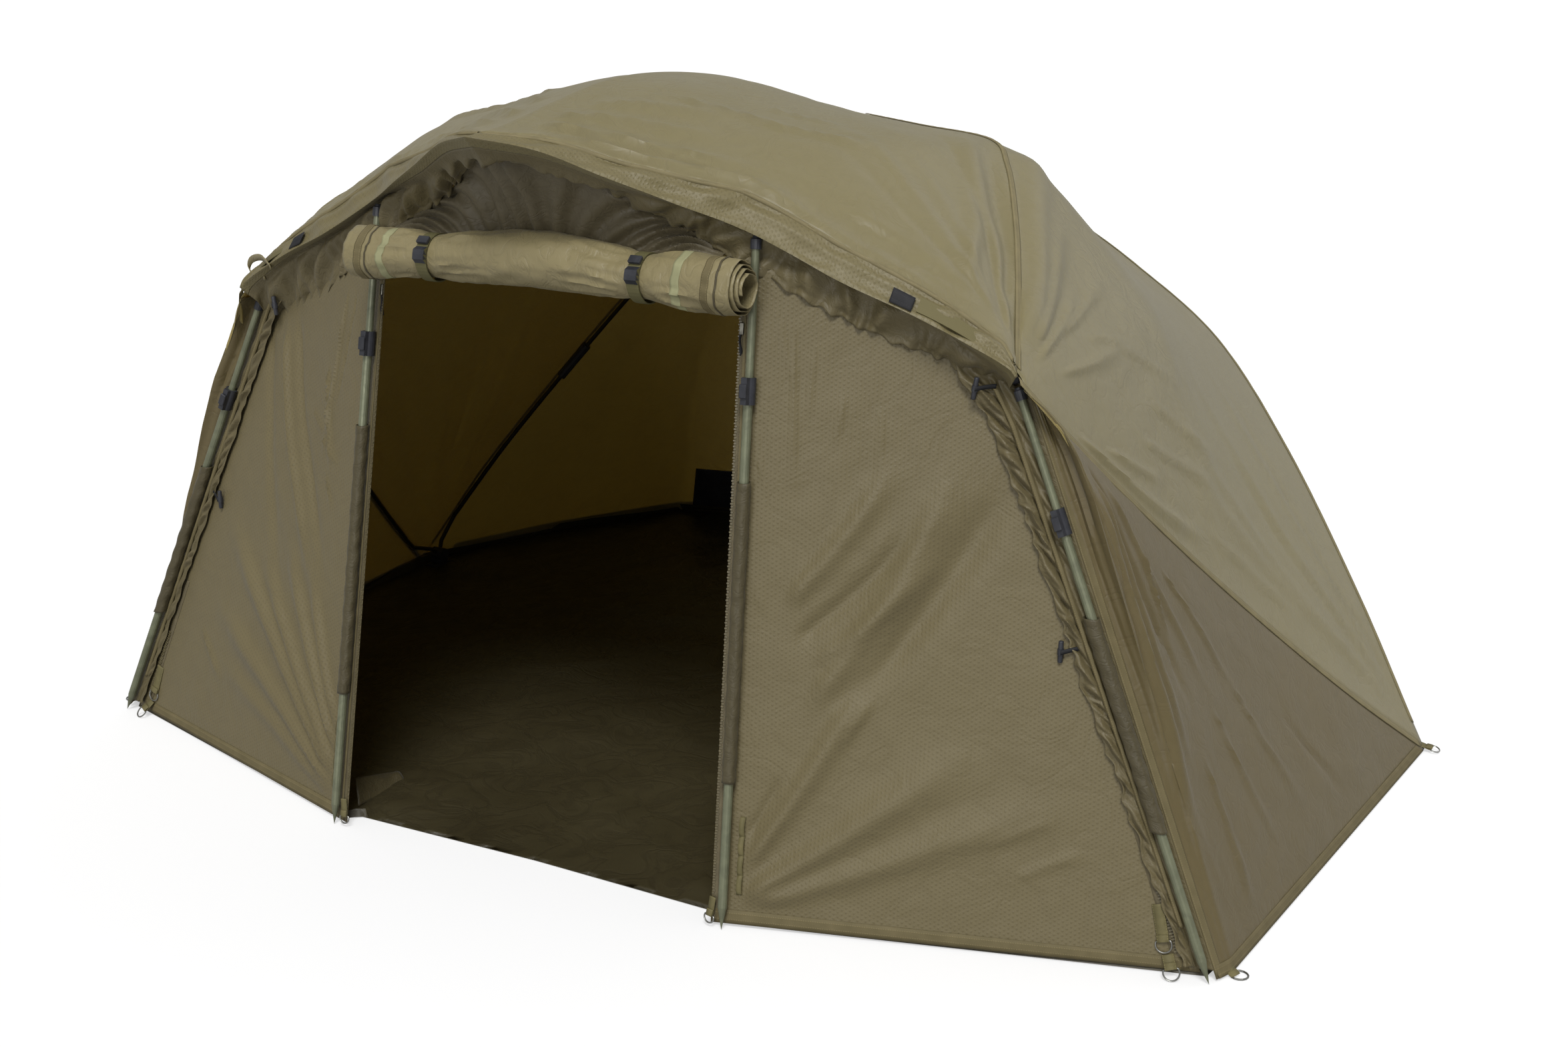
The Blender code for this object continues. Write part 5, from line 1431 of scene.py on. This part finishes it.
@dataclass(frozen=True)
class Sleeves(Maker):
    """The cloth pockets that hold the lower tubes of the poles to the cloth."""

    deep: float = 0.0108
    centre: tuple[float, float, float, float] = (0.285, 0.845, 0.0125, 0.0)
    side: tuple[float, float, float, float] = (0.265, 0.635, 0.0145, -0.002)

    def build(self) -> list[Piece]:
        """Builds a pocket on each of the four poles."""
        made = []
        for side in Side:
            made.append(self.pocket("centre", side, FORM.centre_tip, FORM.centre_top, *self.centre))
            made.append(self.pocket("side", side, FORM.side_tip, FORM.side_top, *self.side))
        return made

    def pocket(self, kind: str, side: Side, tip: Vector, top: Vector, low: float, high: float, wide: float,
               shift: float) -> Piece:
        """A flattened sleeve round a pole.

        Args:
            kind: Which of the side's poles it is on.
            side: Its side of the shelter.
            tip: The pole's lower end.
            top: The pole's upper end.
            low: Height of the sleeve's lower end.
            high: Height of its upper end.
            wide: Half its width.
            shift: How far its middle stands off the pole's, across.

        Returns:
            The new object.
        """
        def place(u: float, v: float) -> Vector:
            """A point round the sleeve."""
            z = high + (low - high) * u
            angle = math.tau * v
            middle = FORM.pole(tip, top, z)
            ends = math.exp(-u / 0.03) + math.exp(-(1.0 - u) / 0.03)
            fold = 1.0 + 0.1 * swirl(z * 34.0, angle, 1.4)
            fold += 0.05 * math.sin(z * 150.0 + math.cos(angle) * 2.0) + 0.05 * ends
            flat = abs(math.cos(angle)) ** 0.75 * (1 if math.cos(angle) >= 0 else -1)
            back = -0.0006 - self.deep * min(fold, 1.08) * math.sin(angle)
            return side.of(middle + Vector((shift + wide * fold * flat, back, 0)))

        sleeve = self.shop.trim(f"{kind}_sleeve_{side.label}", Patch(place, 90, 28), "sleeve", "valance_cloth",
                                f"pole_{kind}_{side.label}", 0.001, self.shop.CLOSED)
        self.shop.declare(sleeve, "stretched", [f"lower_tube_{kind}_{side.label}"])
        return sleeve


@dataclass(frozen=True)
class Door(Maker):
    """The rolled-up door, the fixed cloth over it and the tapes on the roll."""

    pinches: tuple[float, float] = (-0.238, 0.248)
    turns: float = 3.4
    loose_edge: float = 222.0
    layer: float = 0.0098
    band_turn: float = 330.0
    bands: tuple[tuple[str, float, float, str, float], ...] = (
        ("roll_tape_left", -0.335, 0.017, "pale", 0.001),
        ("roll_tape_right", 0.338, 0.019, "pale", 0.001),
        ("roll_hem_right", 0.402, 0.016, "hem", 0.0014),
        ("roll_seam_right", 0.424, 0.004, "sleeve", 0.0014),
        ("roll_hem_left", -0.392, 0.018, "hem", 0.0014),
        ("roll_seam_left", -0.372, 0.004, "sleeve", 0.0014),
    )

    def build(self) -> list[Piece]:
        """Builds the door."""
        return self.roll() + [self.transom()]

    def radius(self, x: float, angle: float, inner: float) -> float:
        """Radius of the roll at a place along it; the straps draw it in and pull folds from it.

        Args:
            x: The place along the roll.
            angle: The place round it.
            inner: How far the layer lies under the outermost one.

        Returns:
            The radius.
        """
        pinch = folds = 0.0
        for k, s in enumerate(self.pinches):
            off = (x - s) / 0.045
            pinch += math.exp(-off * off)
            away = abs(x - s)
            reach = max(1.0 - away / 0.2, 0.0) * smoothstep(0.01, 0.045, away)
            ripple = swirl(x * 7.0 + k, angle, 2.1)
            folds += (1.0 - abs(ripple) * 5.0) * reach * 0.0048
            folds += math.cos(angle * 3.0 + 1.0 + k + away * 6.0) * reach * 0.0026
        loose = 1.0 - min(pinch, 1.0)
        soft = 0.0044 * swirl(x * 7.0, angle, 0.9)
        soft += 0.0016 * swirl(x * 22.0 + angle * 2.0, angle, 2.6)
        soft += 0.003 * swirl(x * 13.0 - angle, angle, 1.7)
        left, right = (smoothstep(0.05, 0.2, abs(x - s)) for s in self.pinches)
        soft += 0.0046 * left * right
        fine = crinkle(Vector((x, math.cos(angle) * 0.05, math.sin(angle) * 0.05)), 0.03, 2.0)
        return FORM.roll - 0.0066 * min(pinch, 1.0) - inner + (folds + soft) * loose - 0.0014 * fine

    def point(self, x: float, angle: float, radius: float) -> Vector:
        """A point round the roll, which rises a little between its straps and sags beside them."""
        left, right = self.pinches
        if left < x < right:
            sag = -0.013 * math.sin(math.pi * (x - left) / (right - left)) ** 1.5
        else:
            sag = 0.004 * smoothstep(0.03, 0.16, min(abs(x - left), abs(x - right)))
        return Vector((x, FORM.roll_y - radius * math.sin(angle), FORM.roll_z - sag - radius * math.cos(angle)))

    def roll(self) -> list[Piece]:
        """The roll: one cloth wound over three times, its layers stepped at the ends."""

        def place(u: float, v: float) -> Vector:
            """A point of the wound cloth, from its loose edge inwards."""
            turn = v * self.turns
            right = FORM.roll_right - 0.02 + 0.0055 * min(turn, 3.4)
            left = FORM.roll_left + 0.006 * min(turn, 3.0)
            x = left + (right - left) * u
            angle = math.radians(self.loose_edge) - turn * math.tau
            ends = smoothstep(0.0, 0.09, u) * smoothstep(1.0, 0.9, u)
            r = self.radius(x, angle, self.layer * turn * (0.8 + 0.2 * ends))
            flop = 1.0 - 0.06 * (1.0 - smoothstep(0.0, 0.06, u)) - 0.05 * (1.0 - smoothstep(1.0, 0.95, u))
            return self.point(x, angle, max(r * flop, 0.006))

        roll = self.shop.sheet("rolled_door", [Patch(place, 170, 210)], ["door"], 0.0013)
        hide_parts("door_roll")
        self.shop.hang(roll, Hang.ROOF)
        tapes = [self.round_band(*band) for band in self.bands]
        self.shop.declare(roll, "folded", ["strap_left", "strap_right"], tapes)
        return [roll] + tapes

    def round_band(self, name: str, middle: float, width: float, finish: str, lift: float) -> Piece:
        """A tape sewn to the door, which goes round the roll.

        Args:
            name: Name of the piece.
            middle: Its place along the roll.
            width: Its width.
            finish: Name of its finish.
            lift: How far it stands off the roll.

        Returns:
            The new object.
        """

        def place(u: float, v: float) -> Vector:
            """A point of the tape."""
            angle = math.radians(self.loose_edge) - 0.02 - u * math.radians(self.band_turn)
            x = middle + (v - 0.5) * width + 0.004 * noise.noise(Vector((angle * 1.5, middle * 9.0, 0)))
            inner = self.layer * u * self.band_turn / 360.0
            return self.point(x, angle, self.radius(x, angle, inner) + lift)

        return self.shop.trim(name, Patch(place, 90, 4), finish, "front_cloth", Hang.ROOF, 0.0007)

    def transom(self) -> Piece:
        """The door's fixed top, from behind the valance's arch down into the roll."""
        turn = math.radians(36)
        reach = FORM.roll + 0.0014
        foot = Vector((0, FORM.roll_y + reach * math.sin(turn), FORM.roll_z - 0.006 + reach * math.cos(turn)))

        def place(u: float, v: float) -> Vector:
            """A point of the door's top."""
            share = (u * 2.0 - 1.0) * 0.43
            side = Side.at(share)
            upper = FORM.valance_edge(abs(share)) + Vector((0, 0.006, 0.006))
            lower = Vector((upper.x, foot.y, foot.z))
            return side.of(upper.lerp(lower, v) + Vector((0, 0.012 * v * (1 - v) * 4 * (1 - abs(u * 2 - 1)), 0)))

        def relief(u: float, v: float, p: Vector) -> float:
            """Its upright folds."""
            body = (smoothstep(0.0, 0.12, v) * smoothstep(1.0, 0.85, v)
                    * smoothstep(0.0, 0.1, u) * smoothstep(1.0, 0.9, u))
            lean = (u - 0.5) * (1.0 + v)
            fold = math.sin(lean * 60.0 + 6.0 * noise.noise(p * 5.0)) * 0.0085
            return body * (fold * (1.1 - 0.5 * v) + crinkle(p, 0.06, 3.0) * 0.006)

        # Its outer finish is the cloth darkened as painted shade from the brim.
        transom = self.shop.sheet("door_top", [Patch(place, 150, 36, relief, FORM.under_roof, runs=False)],
                                  ["arch", "lining"])
        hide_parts("transom")
        self.shop.hang(transom, Hang.ROOF)
        self.shop.declare(transom, "hung", ["valance"])
        return transom


@dataclass(frozen=True)
class Floorcloth(Maker):
    """The groundsheet."""

    @staticmethod
    def back(x: float) -> float:
        """Where the groundsheet ends at the rear wall, just inside its hem."""
        return FORM.hub.y + FORM.rear_reach(0.5 + x / FORM.foot.x / 2) - 0.006

    @staticmethod
    def front(x: float) -> float:
        """Where it ends at the door and the front panels."""
        door, pole, out = 0.45, FORM.centre_tip.x, FORM.front_foot.x - 0.032
        return float(np.interp(abs(x), (0.0, door, pole, out, FORM.foot.x - 0.01),
                               (-0.852, -0.862, -0.889, -0.64, 0.59)))

    def build(self) -> list[Piece]:
        """A sheet inside the hems, with low folds and a rim that stands up at the walls."""

        def place(u: float, v: float) -> Vector:
            """A point of the groundsheet, with its rim turned up."""
            x = (u * 2 - 1) * (FORM.foot.x - 0.008)
            front, back = self.front(x), self.back(x)
            share = min(max((v - 0.02) / 0.96, 0.0), 1.0)
            spot = Vector((x, front + (back - front) * share, 0.0018))
            if v < 0.015 and abs(x) > 0.44:
                spot += Vector((0, 0.01, FORM.floor_rim * 0.55))
            elif v > 0.985:
                spot += Vector((0, -0.024, FORM.floor_rim))
            if u < 0.006 or u > 0.994:
                spot += Vector((-0.012 if x > 0 else 0.012, 0, max(FORM.floor_rim - spot.z, 0.0)))
            return spot

        def relief(u: float, v: float, p: Vector) -> float:
            """Low creases where it lies on the ground."""
            body = (smoothstep(0.0, 0.05, u) * smoothstep(1.0, 0.95, u)
                    * smoothstep(0.02, 0.05, v) * smoothstep(0.98, 0.94, v))
            long = max(math.sin(p.x * 9.0 + p.y * 3.0 + 3.0 * noise.noise(p * 1.7)), 0.0) ** 3 * 0.006
            fold = max(crinkle(p, 0.3, 1.0), 0.0) * 0.02 + max(crinkle(p, 0.1, 6.0), 0.0) * 0.008 + long
            return body * fold

        sheet = self.shop.sheet("floor_sheet", [Patch(place, 190, 150, relief, Vector((0, 0, -1)), runs=False)],
                                ["floor"])
        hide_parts("groundsheet")
        self.shop.hang(sheet, Hang.GROUND)
        self.shop.declare(sheet, "laid", ["hub_left", "hub_right"])
        return [sheet]


@dataclass(frozen=True)
class Fittings(Maker):
    """Rings on webbing tabs, toggles, bare tags, lacing webbing and other small trim."""

    wire: float = 0.0016
    flat: float = 0.45
    toggle_bar: tuple[float, float] = (0.0048, 0.042)
    toggle_hub: tuple[float, float] = (0.0062, 0.011)

    def build(self) -> list[Piece]:
        """Builds the fittings of both sides, and those that stand alone."""
        made: list[Piece] = []
        for side in Side:
            made += self.tabs(side) + self.toggles(side) + [self.tag(side), self.lacing(side), self.pull(side)]
        return made + [self.vent(), self.rod_loop(), self.flap()]

    def ring(self, bm: Mesh, place: Matrix, radius: float) -> None:
        """Adds a D-shaped ring: a wire spun round, with its straight bar towards -Y of its place.

        Args:
            bm: The mesh that it goes into.
            place: Where it is.
            radius: Its radius.
        """
        before = set(bm.verts)
        made = bmesh.ops.create_circle(bm, segments=8, radius=self.wire, matrix=Matrix.Translation((radius, 0, 0))
                                       @ Matrix.Rotation(math.pi / 2, 4, "X"))["verts"]
        edges = list(dict.fromkeys(edge for vert in made for edge in vert.link_edges))
        bmesh.ops.spin(bm, geom=made + edges, cent=(0, 0, 0), axis=(0, 0, 1), angle=math.tau, steps=28, use_merge=True)
        verts = [vert for vert in bm.verts if vert not in before]
        for vert in verts:
            low = -self.flat * radius - radius * math.sin(math.atan2(vert.co.y, vert.co.x))
            if low > 0.0:
                vert.co.y += low
        faces = list(dict.fromkeys(face for vert in verts for face in vert.link_faces))
        bmesh.ops.recalc_face_normals(bm, faces=faces)
        bmesh.ops.transform(bm, matrix=place, verts=verts)

    @staticmethod
    def frame(middle: Vector, bar: Vector, out: Vector) -> Matrix:
        """A place whose X runs along a ring's bar and whose Z faces out."""
        x = bar.normalized()
        z = (out - x * out.dot(x)).normalized()
        y = z.cross(x)
        return Matrix.Translation(middle) @ Matrix((x, y, z)).transposed().to_4x4()

    def ribbon(self, name: str, path: Sequence[Vector], wide: Vector, width: float, how: Hang,
               finish: str = "webbing", thickness: float = 0.0016, steps: int = 20) -> Piece:
        """A flat strap along a path, as wide in one direction all along.

        Args:
            name: Name of the piece.
            path: Points that it follows.
            wide: Direction of its width.
            width: Its width.
            how: How it moves.
            finish: Its finish.
            thickness: Its thickness.
            steps: Number of faces along it.

        Returns:
            The new object.
        """
        line = Line(path, 61)
        wide = wide.normalized()
        return self.shop.trim(name, Patch(lambda u, v: line.at(u) + wide * ((v - 0.5) * width), steps, 2), finish,
                              "webbing", how, thickness)

    def tab(self, name: str, side: Side, top: Vector, low: Vector, out: Vector, how: Hang, width: float = 0.02,
            ring: float = 0.0135) -> list[Piece]:
        """A folded webbing tab with a ring in its loop.

        Args:
            name: Name of the tab.
            side: Its side of the shelter.
            top: Where it is sewn on, on the right-hand side.
            low: The middle of the ring's bar.
            out: The direction that it faces.
            how: How it moves.
            width: Width of the webbing.
            ring: Radius of the ring.

        Returns:
            The tab and the ring.
        """
        down = (low - top).normalized()
        bar = down.cross(out).normalized()
        face = bar.cross(down).normalized()
        if face.dot(out) < 0:
            face.negate()
        path = [top, top.lerp(low, 0.5), low - down * 0.004, low + face * 0.0022 + down * 0.0022,
                low + face * 0.0042 - down * 0.001, low - down * 0.012 + face * 0.0026]
        strap = self.ribbon(f"{name}_{side.label}", [side.of(p) for p in path], side.of(bar), width, how)
        bm = bmesh.new()
        middle = low + face * 0.0018 + down * (self.flat * ring)
        self.ring(bm, self.frame(side.of(middle), side.of(bar), side.of(face)) @ self.facing(side, bar, face, down),
                  ring)
        wire = self.shop.link(f"{name}_ring_{side.label}", self.shop.settled(bm), ["steel"])
        return [strap, self.shop.hang(wire, how)]

    @staticmethod
    def facing(side: Side, bar: Vector, face: Vector, down: Vector) -> Matrix:
        """Turns a ring over where its place's Y doesn't run down, so that its bar is in the webbing."""
        x, z = side.of(bar).normalized(), side.of(face).normalized()
        y = z.cross(x)
        return Matrix() if y.dot(side.of(down)) > 0 else Matrix.Rotation(math.pi, 4, "Z")

    def tabs(self, side: Side) -> list[Piece]:
        """The webbing tabs with rings round the foot of the shelter."""
        ahead = Vector((0.15, -1.0, 0.1))
        strip = FORM.panel(1.24, 0.125, 0.004)
        made = self.tab("panel_tab", side, strip, FORM.panel(1.258, 0.06, 0.005), ahead, Hang.AHEAD, 0.022, 0.015)
        made += self.tab("hem_tab", side, FORM.panel(1.268, 0.036, 0.004), Vector((1.28, -0.676, 0.0165)),
                         Vector((0.2, -0.9, 1.2)), Hang.GROUND, 0.022, 0.015)
        made += self.tab("pole_tab", side, Vector((0.454, -0.9075, 0.06)), Vector((0.45, -0.9125, 0.024)),
                         Vector((-0.1, -1.0, 0.2)), Hang.GROUND, 0.014, 0.011)
        made += self.tab("foot_tab", side, Vector((1.455, 0.6, 0.015)), Vector((1.484, 0.6, 0.008)),
                         Vector((0.1, -0.1, 1.0)), Hang.GROUND, 0.02, 0.013)
        path = ((1.345, -0.5965, 0.036), (1.362, -0.606, 0.02), (1.376, -0.6145, 0.0065),
                (1.385, -0.618, 0.0045), (1.374, -0.6115, 0.0085))
        return made + [self.ribbon(f"corner_tab_{side.label}", [side.of(Vector(p)) for p in path],
                                   side.of(Vector((0.45, 0.85, 0.1))), 0.02, Hang.GROUND)]

    @staticmethod
    def rod(bm: Mesh, place: Matrix, radius: float, length: float) -> None:
        """Adds a round bar to a mesh."""
        bmesh.ops.create_cone(bm, cap_ends=True, segments=14, radius1=radius, radius2=radius, depth=length,
                              matrix=place)

    def toggles(self, side: Side) -> list[Piece]:
        """The two toggles on the gathered edge."""
        bars = (((0.832, 1.029), (0.86, 1.032), Vector((0.16, 0.02, 1.0))),
                ((1.024, 0.566), (1.062, 0.575), Vector((0.02, 0, 1.0))))
        made = []
        for k, ((x, z), (ex, ez), way) in enumerate(bars):
            middle = FORM.panel(x, z, 0.0105 + 0.022 * (1 - k))
            end = FORM.panel(ex, ez, 0.008 + 0.016 * (1 - k))
            bm = bmesh.new()
            axis = side.of(way).normalized()
            place = Matrix.Translation(side.of(middle)) @ axis.to_track_quat("Z", "Y").to_matrix().to_4x4()
            self.rod(bm, place, *self.toggle_bar)
            rims = [edge for edge in bm.edges if any(len(face.verts) > 4 for face in edge.link_faces)]
            bmesh.ops.bevel(bm, geom=rims, offset=0.0022, affect="EDGES", segments=3, profile=0.5, material=-1)
            self.rod(bm, place, *self.toggle_hub)
            bar = self.shop.link(f"toggle_{k + 1}_{side.label}", self.shop.settled(bm), ["black"])
            made.append(self.shop.hang(bar, Hang.AHEAD))
            path = [end + Vector((0.004, 0.001, 0)), end, middle.lerp(end, 0.5) + Vector((0, -0.0022, 0)),
                    middle + Vector((0.002, -0.006, 0))]
            made.append(self.ribbon(f"toggle_loop_{k + 1}_{side.label}", [side.of(p) for p in path], axis, 0.008,
                                    Hang.AHEAD, "black_web", 0.0026, 12))
        return made

    def tag(self, side: Side) -> Piece:
        """A bare woven tag on the brim, beside the rod strap."""

        def place(u: float, v: float) -> Vector:
            """A point of the tag."""
            share = 0.752 + 0.04 * u
            top, edge = FORM.brim_top(share), FORM.brim_edge.at(share)
            along = FORM.brim_edge.along(share)
            out = (edge - top).cross(along).normalized()
            out = out if out.y < 0 else -out
            return side.of(top.lerp(edge, 0.46 + 0.5 * v) + out * (0.0062 - 0.0012 * v))

        return self.shop.trim(f"brim_tag_{side.label}", Patch(place, 10, 6), "black_web", "webbing", Hang.ROOF, 0.0012)

    def lacing(self, side: Side) -> Piece:
        """A ladder of webbing loops beside the foot of a centre pole."""

        def place(u: float, v: float) -> Vector:
            """A point of the webbing, which bulges between its stitches."""
            z = 0.215 - 0.15 * u
            x = FORM.pole(FORM.centre_tip, FORM.centre_top, z).x + 0.024 + 0.01 * (v - 0.5)
            bulge = abs(math.sin(u * math.pi * 4.0)) ** 0.6
            return side.of(FORM.panel(x, z, 0.0022 + 0.005 * bulge))

        return self.shop.trim(f"lacing_{side.label}", Patch(place, 48, 2, inside=FORM.inside), "webbing", "webbing",
                              Hang.AHEAD, 0.0014)

    def pull(self, side: Side) -> Piece:
        """A cord pull that hangs from a door zip's slider."""
        zip_x = FORM.pole(FORM.centre_tip, FORM.centre_top, 1.1).x - 0.024
        top = FORM.panel(zip_x, 1.11, 0.0045)
        steps = ((0, 0, 0), (-0.001, -0.0016, -0.012), (0.001, -0.0012, -0.026), (0, -0.0006, -0.042))
        line = Line([side.of(top + Vector(step)) for step in steps], 41)

        def place(u: float, v: float) -> Vector:
            """A point round the cord, which thickens at its end."""
            thick = 0.0016 if u < 0.55 else 0.0034 - 0.0008 * abs(u - 0.78) / 0.22
            angle = math.tau * v
            return line.at(u) + Vector((math.cos(angle), math.sin(angle), 0)) * thick

        return self.shop.trim(f"zip_pull_{side.label}", Patch(place, 24, 10), "black_web", "webbing",
                              f"door_zip_{side.label}", 0.0008, 0.0001)

    def vent(self) -> Piece:
        """The dark vent panel low in the rear wall."""

        def place(u: float, v: float) -> Vector:
            """A point of the panel."""
            share = 0.15 + 0.12 * v
            low, high = FORM.rear_wall(0.995, share), FORM.rear_wall(0.9, share)
            return low.lerp(high, u) + Vector((0.003, -0.0075, 0))

        return self.shop.trim("vent_panel", Patch(place, 24, 24, inside=Vector((-1, 3, 0.3)), runs=False),
                              "black_web", "groundsheet_cloth", Hang.BEHIND, 0.0012)

    def flap(self) -> Piece:
        """The loose corner of cloth on the floor inside the door's left edge."""
        corners = [Vector(p) for p in ((-0.478, -0.838, 0.0085), (-0.47, -0.69, 0.0095), (-0.515, -0.8, 0.052),
                                       (-0.513, -0.676, 0.018))]

        def place(u: float, v: float) -> Vector:
            """A point of the loose cloth."""
            spot = corners[0].lerp(corners[1], u).lerp(corners[2].lerp(corners[3], u), v)
            return spot + Vector((0, 0, 0.006 + 0.008 * noise.noise(spot * 30.0))) * math.sin(math.pi * v)

        return self.shop.trim("door_flap", Patch(place, 20, 12), "sleeve", "olive_cloth", Hang.GROUND, 0.001)

    def rod_loop(self) -> Piece:
        """The left rod strap's loop, which stands out beside the corner."""
        path = [Vector(p) for p in ((-0.8, -0.64, 1.122), (-0.835, -0.628, 1.138), (-0.88, -0.612, 1.128),
                                    (-0.898, -0.604, 1.106), (-0.88, -0.606, 1.092), (-0.842, -0.616, 1.094))]
        return self.ribbon("rod_loop", path, Vector((0.1, -0.5, 0.86)), 0.018, Hang.ROOF, "door", 0.0014, 40)


@dataclass(frozen=True)
class HardParts(Maker):
    """Finishes for the hard pieces of the frame."""

    GROUPS: ClassVar[dict[str, tuple[str, ...]]] = {
        "tube": ("lower_tube_", "upper_tube_"),
        "black": ("clamp_", "lever_", "pole_head_", "hub_", "corner_block_", "crown_block", "peak_joint",
                  "elbow_", "latch_"),
        "rib": ("front_arm_", "rear_arm_", "side_rib_", "brim_rib_", "peak_rib"),
        "steel": ("peg_ring_",),
        "dark_steel": ("door_zip_",),
        "strap": ("strap_",),
        "webbing": ("rod_strap_",),
    }

    def build(self) -> list[Piece]:
        """Gives every shown frame node its finish."""
        made = []
        for name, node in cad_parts.items():
            for finish, starts in self.GROUPS.items():
                if name.startswith(starts):
                    node.data.materials.clear()
                    node.data.materials.append(self.shop.materials[finish])
                    made.append(node)
                    if finish == "strap":
                        self.buckle(node)
        return made

    def buckle(self, node: Piece) -> None:
        """Gives the buckle's socket, which stands out from its strap, the black plastic."""
        node.data.materials.append(self.shop.materials["black"])
        for face in node.data.polygons:
            spot = node.matrix_world @ face.center
            away = math.hypot(spot.y - FORM.roll_y, spot.z - FORM.roll_z)
            face.material_index = 1 if away > FORM.roll - 0.001 else 0


@dataclass(frozen=True)
class Studio:
    """A pale floor, soft daylight lamps and the camera, all in degrees and metres."""

    suns: tuple[tuple[str, tuple[float, float, float], float, float], ...] = (
        ("key", (0.26, -0.52, 0.81), 2.2, 22.0),
        ("front", (0.08, -0.97, 0.2), 0.68, 24.0),
        ("edge", (0.45, 0.7, 0.56), 0.55, 60.0),
    )
    surround: float = 0.36
    floor_half: float = 60.0
    floor_drop: float = 0.0006
    lens: float = 45.12
    camera_at: tuple[float, float, float] = (2.196, -3.791, 1.825)
    camera_tilt: float = 73.08
    camera_turn: float = 28.84

    def build(self) -> None:
        """Builds the studio."""
        self.world()
        self.floor()
        self.camera()
        for name, way, strength, angle in self.suns:
            self.sun(name, Vector(way), strength, angle)

    def world(self) -> None:
        """An even surround, plain white where the camera or clear plastic shows it."""
        world = bpy.data.worlds.new("studio")
        bpy.context.scene.world = world
        world.use_nodes = True
        tree = world.node_tree
        back = tree.nodes["Background"]
        path = tree.nodes.new("ShaderNodeLightPath")
        seen = tree.nodes.new("ShaderNodeMath")
        seen.operation = "MAXIMUM"
        tree.links.new(path.outputs["Is Camera Ray"], seen.inputs[0])
        tree.links.new(path.outputs["Is Transmission Ray"], seen.inputs[1])
        level = tree.nodes.new("ShaderNodeMapRange")
        level.inputs["To Min"].default_value = self.surround
        level.inputs["To Max"].default_value = 1.0
        tree.links.new(seen.outputs[0], level.inputs["Value"])
        tree.links.new(level.outputs["Result"], back.inputs["Strength"])
        back.inputs["Color"].default_value = (1.0, 1.0, 1.0, 1.0)

    def floor(self) -> None:
        """The floor under the shelter, white to the camera and paler or darker only by its shadow."""
        bm = bmesh.new()
        bmesh.ops.create_grid(bm, x_segments=1, y_segments=1, size=self.floor_half)
        bmesh.ops.translate(bm, vec=(0, 0, -self.floor_drop), verts=bm.verts)
        mesh = bpy.data.meshes.new("floor")
        bm.to_mesh(mesh)
        bm.free()
        floor = bpy.data.objects.new("studio_floor", mesh)
        bpy.context.scene.collection.objects.link(floor)
        recipe = Recipe("studio_floor", 0.9)
        path = recipe.add("ShaderNodeLightPath", {})
        tint = recipe.spread(recipe.cloud(recipe.object(), 0.6, 2.0), 0.0, 1.0, 0.4, 0.42)
        tint = recipe.math("MULTIPLY_ADD", path.outputs["Is Camera Ray"], 0.1, tint)
        material = recipe.finish(recipe.add("ShaderNodeCombineColor", {0: tint, 1: tint, 2: tint}).outputs[0])
        recipe.surface.inputs["Emission Color"].default_value = (1.0, 1.0, 1.0, 1.0)
        recipe.tree.links.new(recipe.math("MULTIPLY", path.outputs["Is Camera Ray"], 0.52),
                              recipe.surface.inputs["Emission Strength"])
        mesh.materials.append(material)

    def camera(self) -> None:
        """The camera, at the photograph's viewing angle."""
        data = bpy.data.cameras.new("camera")
        data.lens = self.lens
        data.sensor_width = 36.0
        camera = bpy.data.objects.new("camera", data)
        camera.location = self.camera_at
        camera.rotation_euler = (math.radians(self.camera_tilt), 0.0, math.radians(self.camera_turn))
        bpy.context.scene.collection.objects.link(camera)
        bpy.context.scene.camera = camera

    def sun(self, name: str, way: Vector, strength: float, angle: float) -> None:
        """A wide, soft sun that stands in the given direction.

        Args:
            name: Name of the lamp.
            way: Direction from the shelter to the lamp.
            strength: Its strength.
            angle: Its width, in degrees.
        """
        data = bpy.data.lights.new(name, "SUN")
        data.energy = strength
        data.angle = math.radians(angle)
        lamp = bpy.data.objects.new(name, data)
        lamp.location = way * 6.0
        lamp.rotation_euler = way.to_track_quat("Z", "Y").to_euler()
        bpy.context.scene.collection.objects.link(lamp)


def main() -> None:
    """Builds the shelter and the studio, in order."""
    logging.basicConfig(level=logging.INFO, format="%(name)s %(message)s")
    scene = bpy.context.scene
    scene.view_settings.view_transform = "Standard"
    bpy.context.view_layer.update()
    shop = Workshop()
    Studio().build()
    for maker in (Roof(shop), Walls(shop), Brim(shop), Sleeves(shop), Door(shop), Floorcloth(shop), Fittings(shop),
                  HardParts(shop)):
        for piece in maker.build():
            LOG.info("%s: %s", type(maker).__name__, piece.name)


if __name__ == "__main__":
    main()
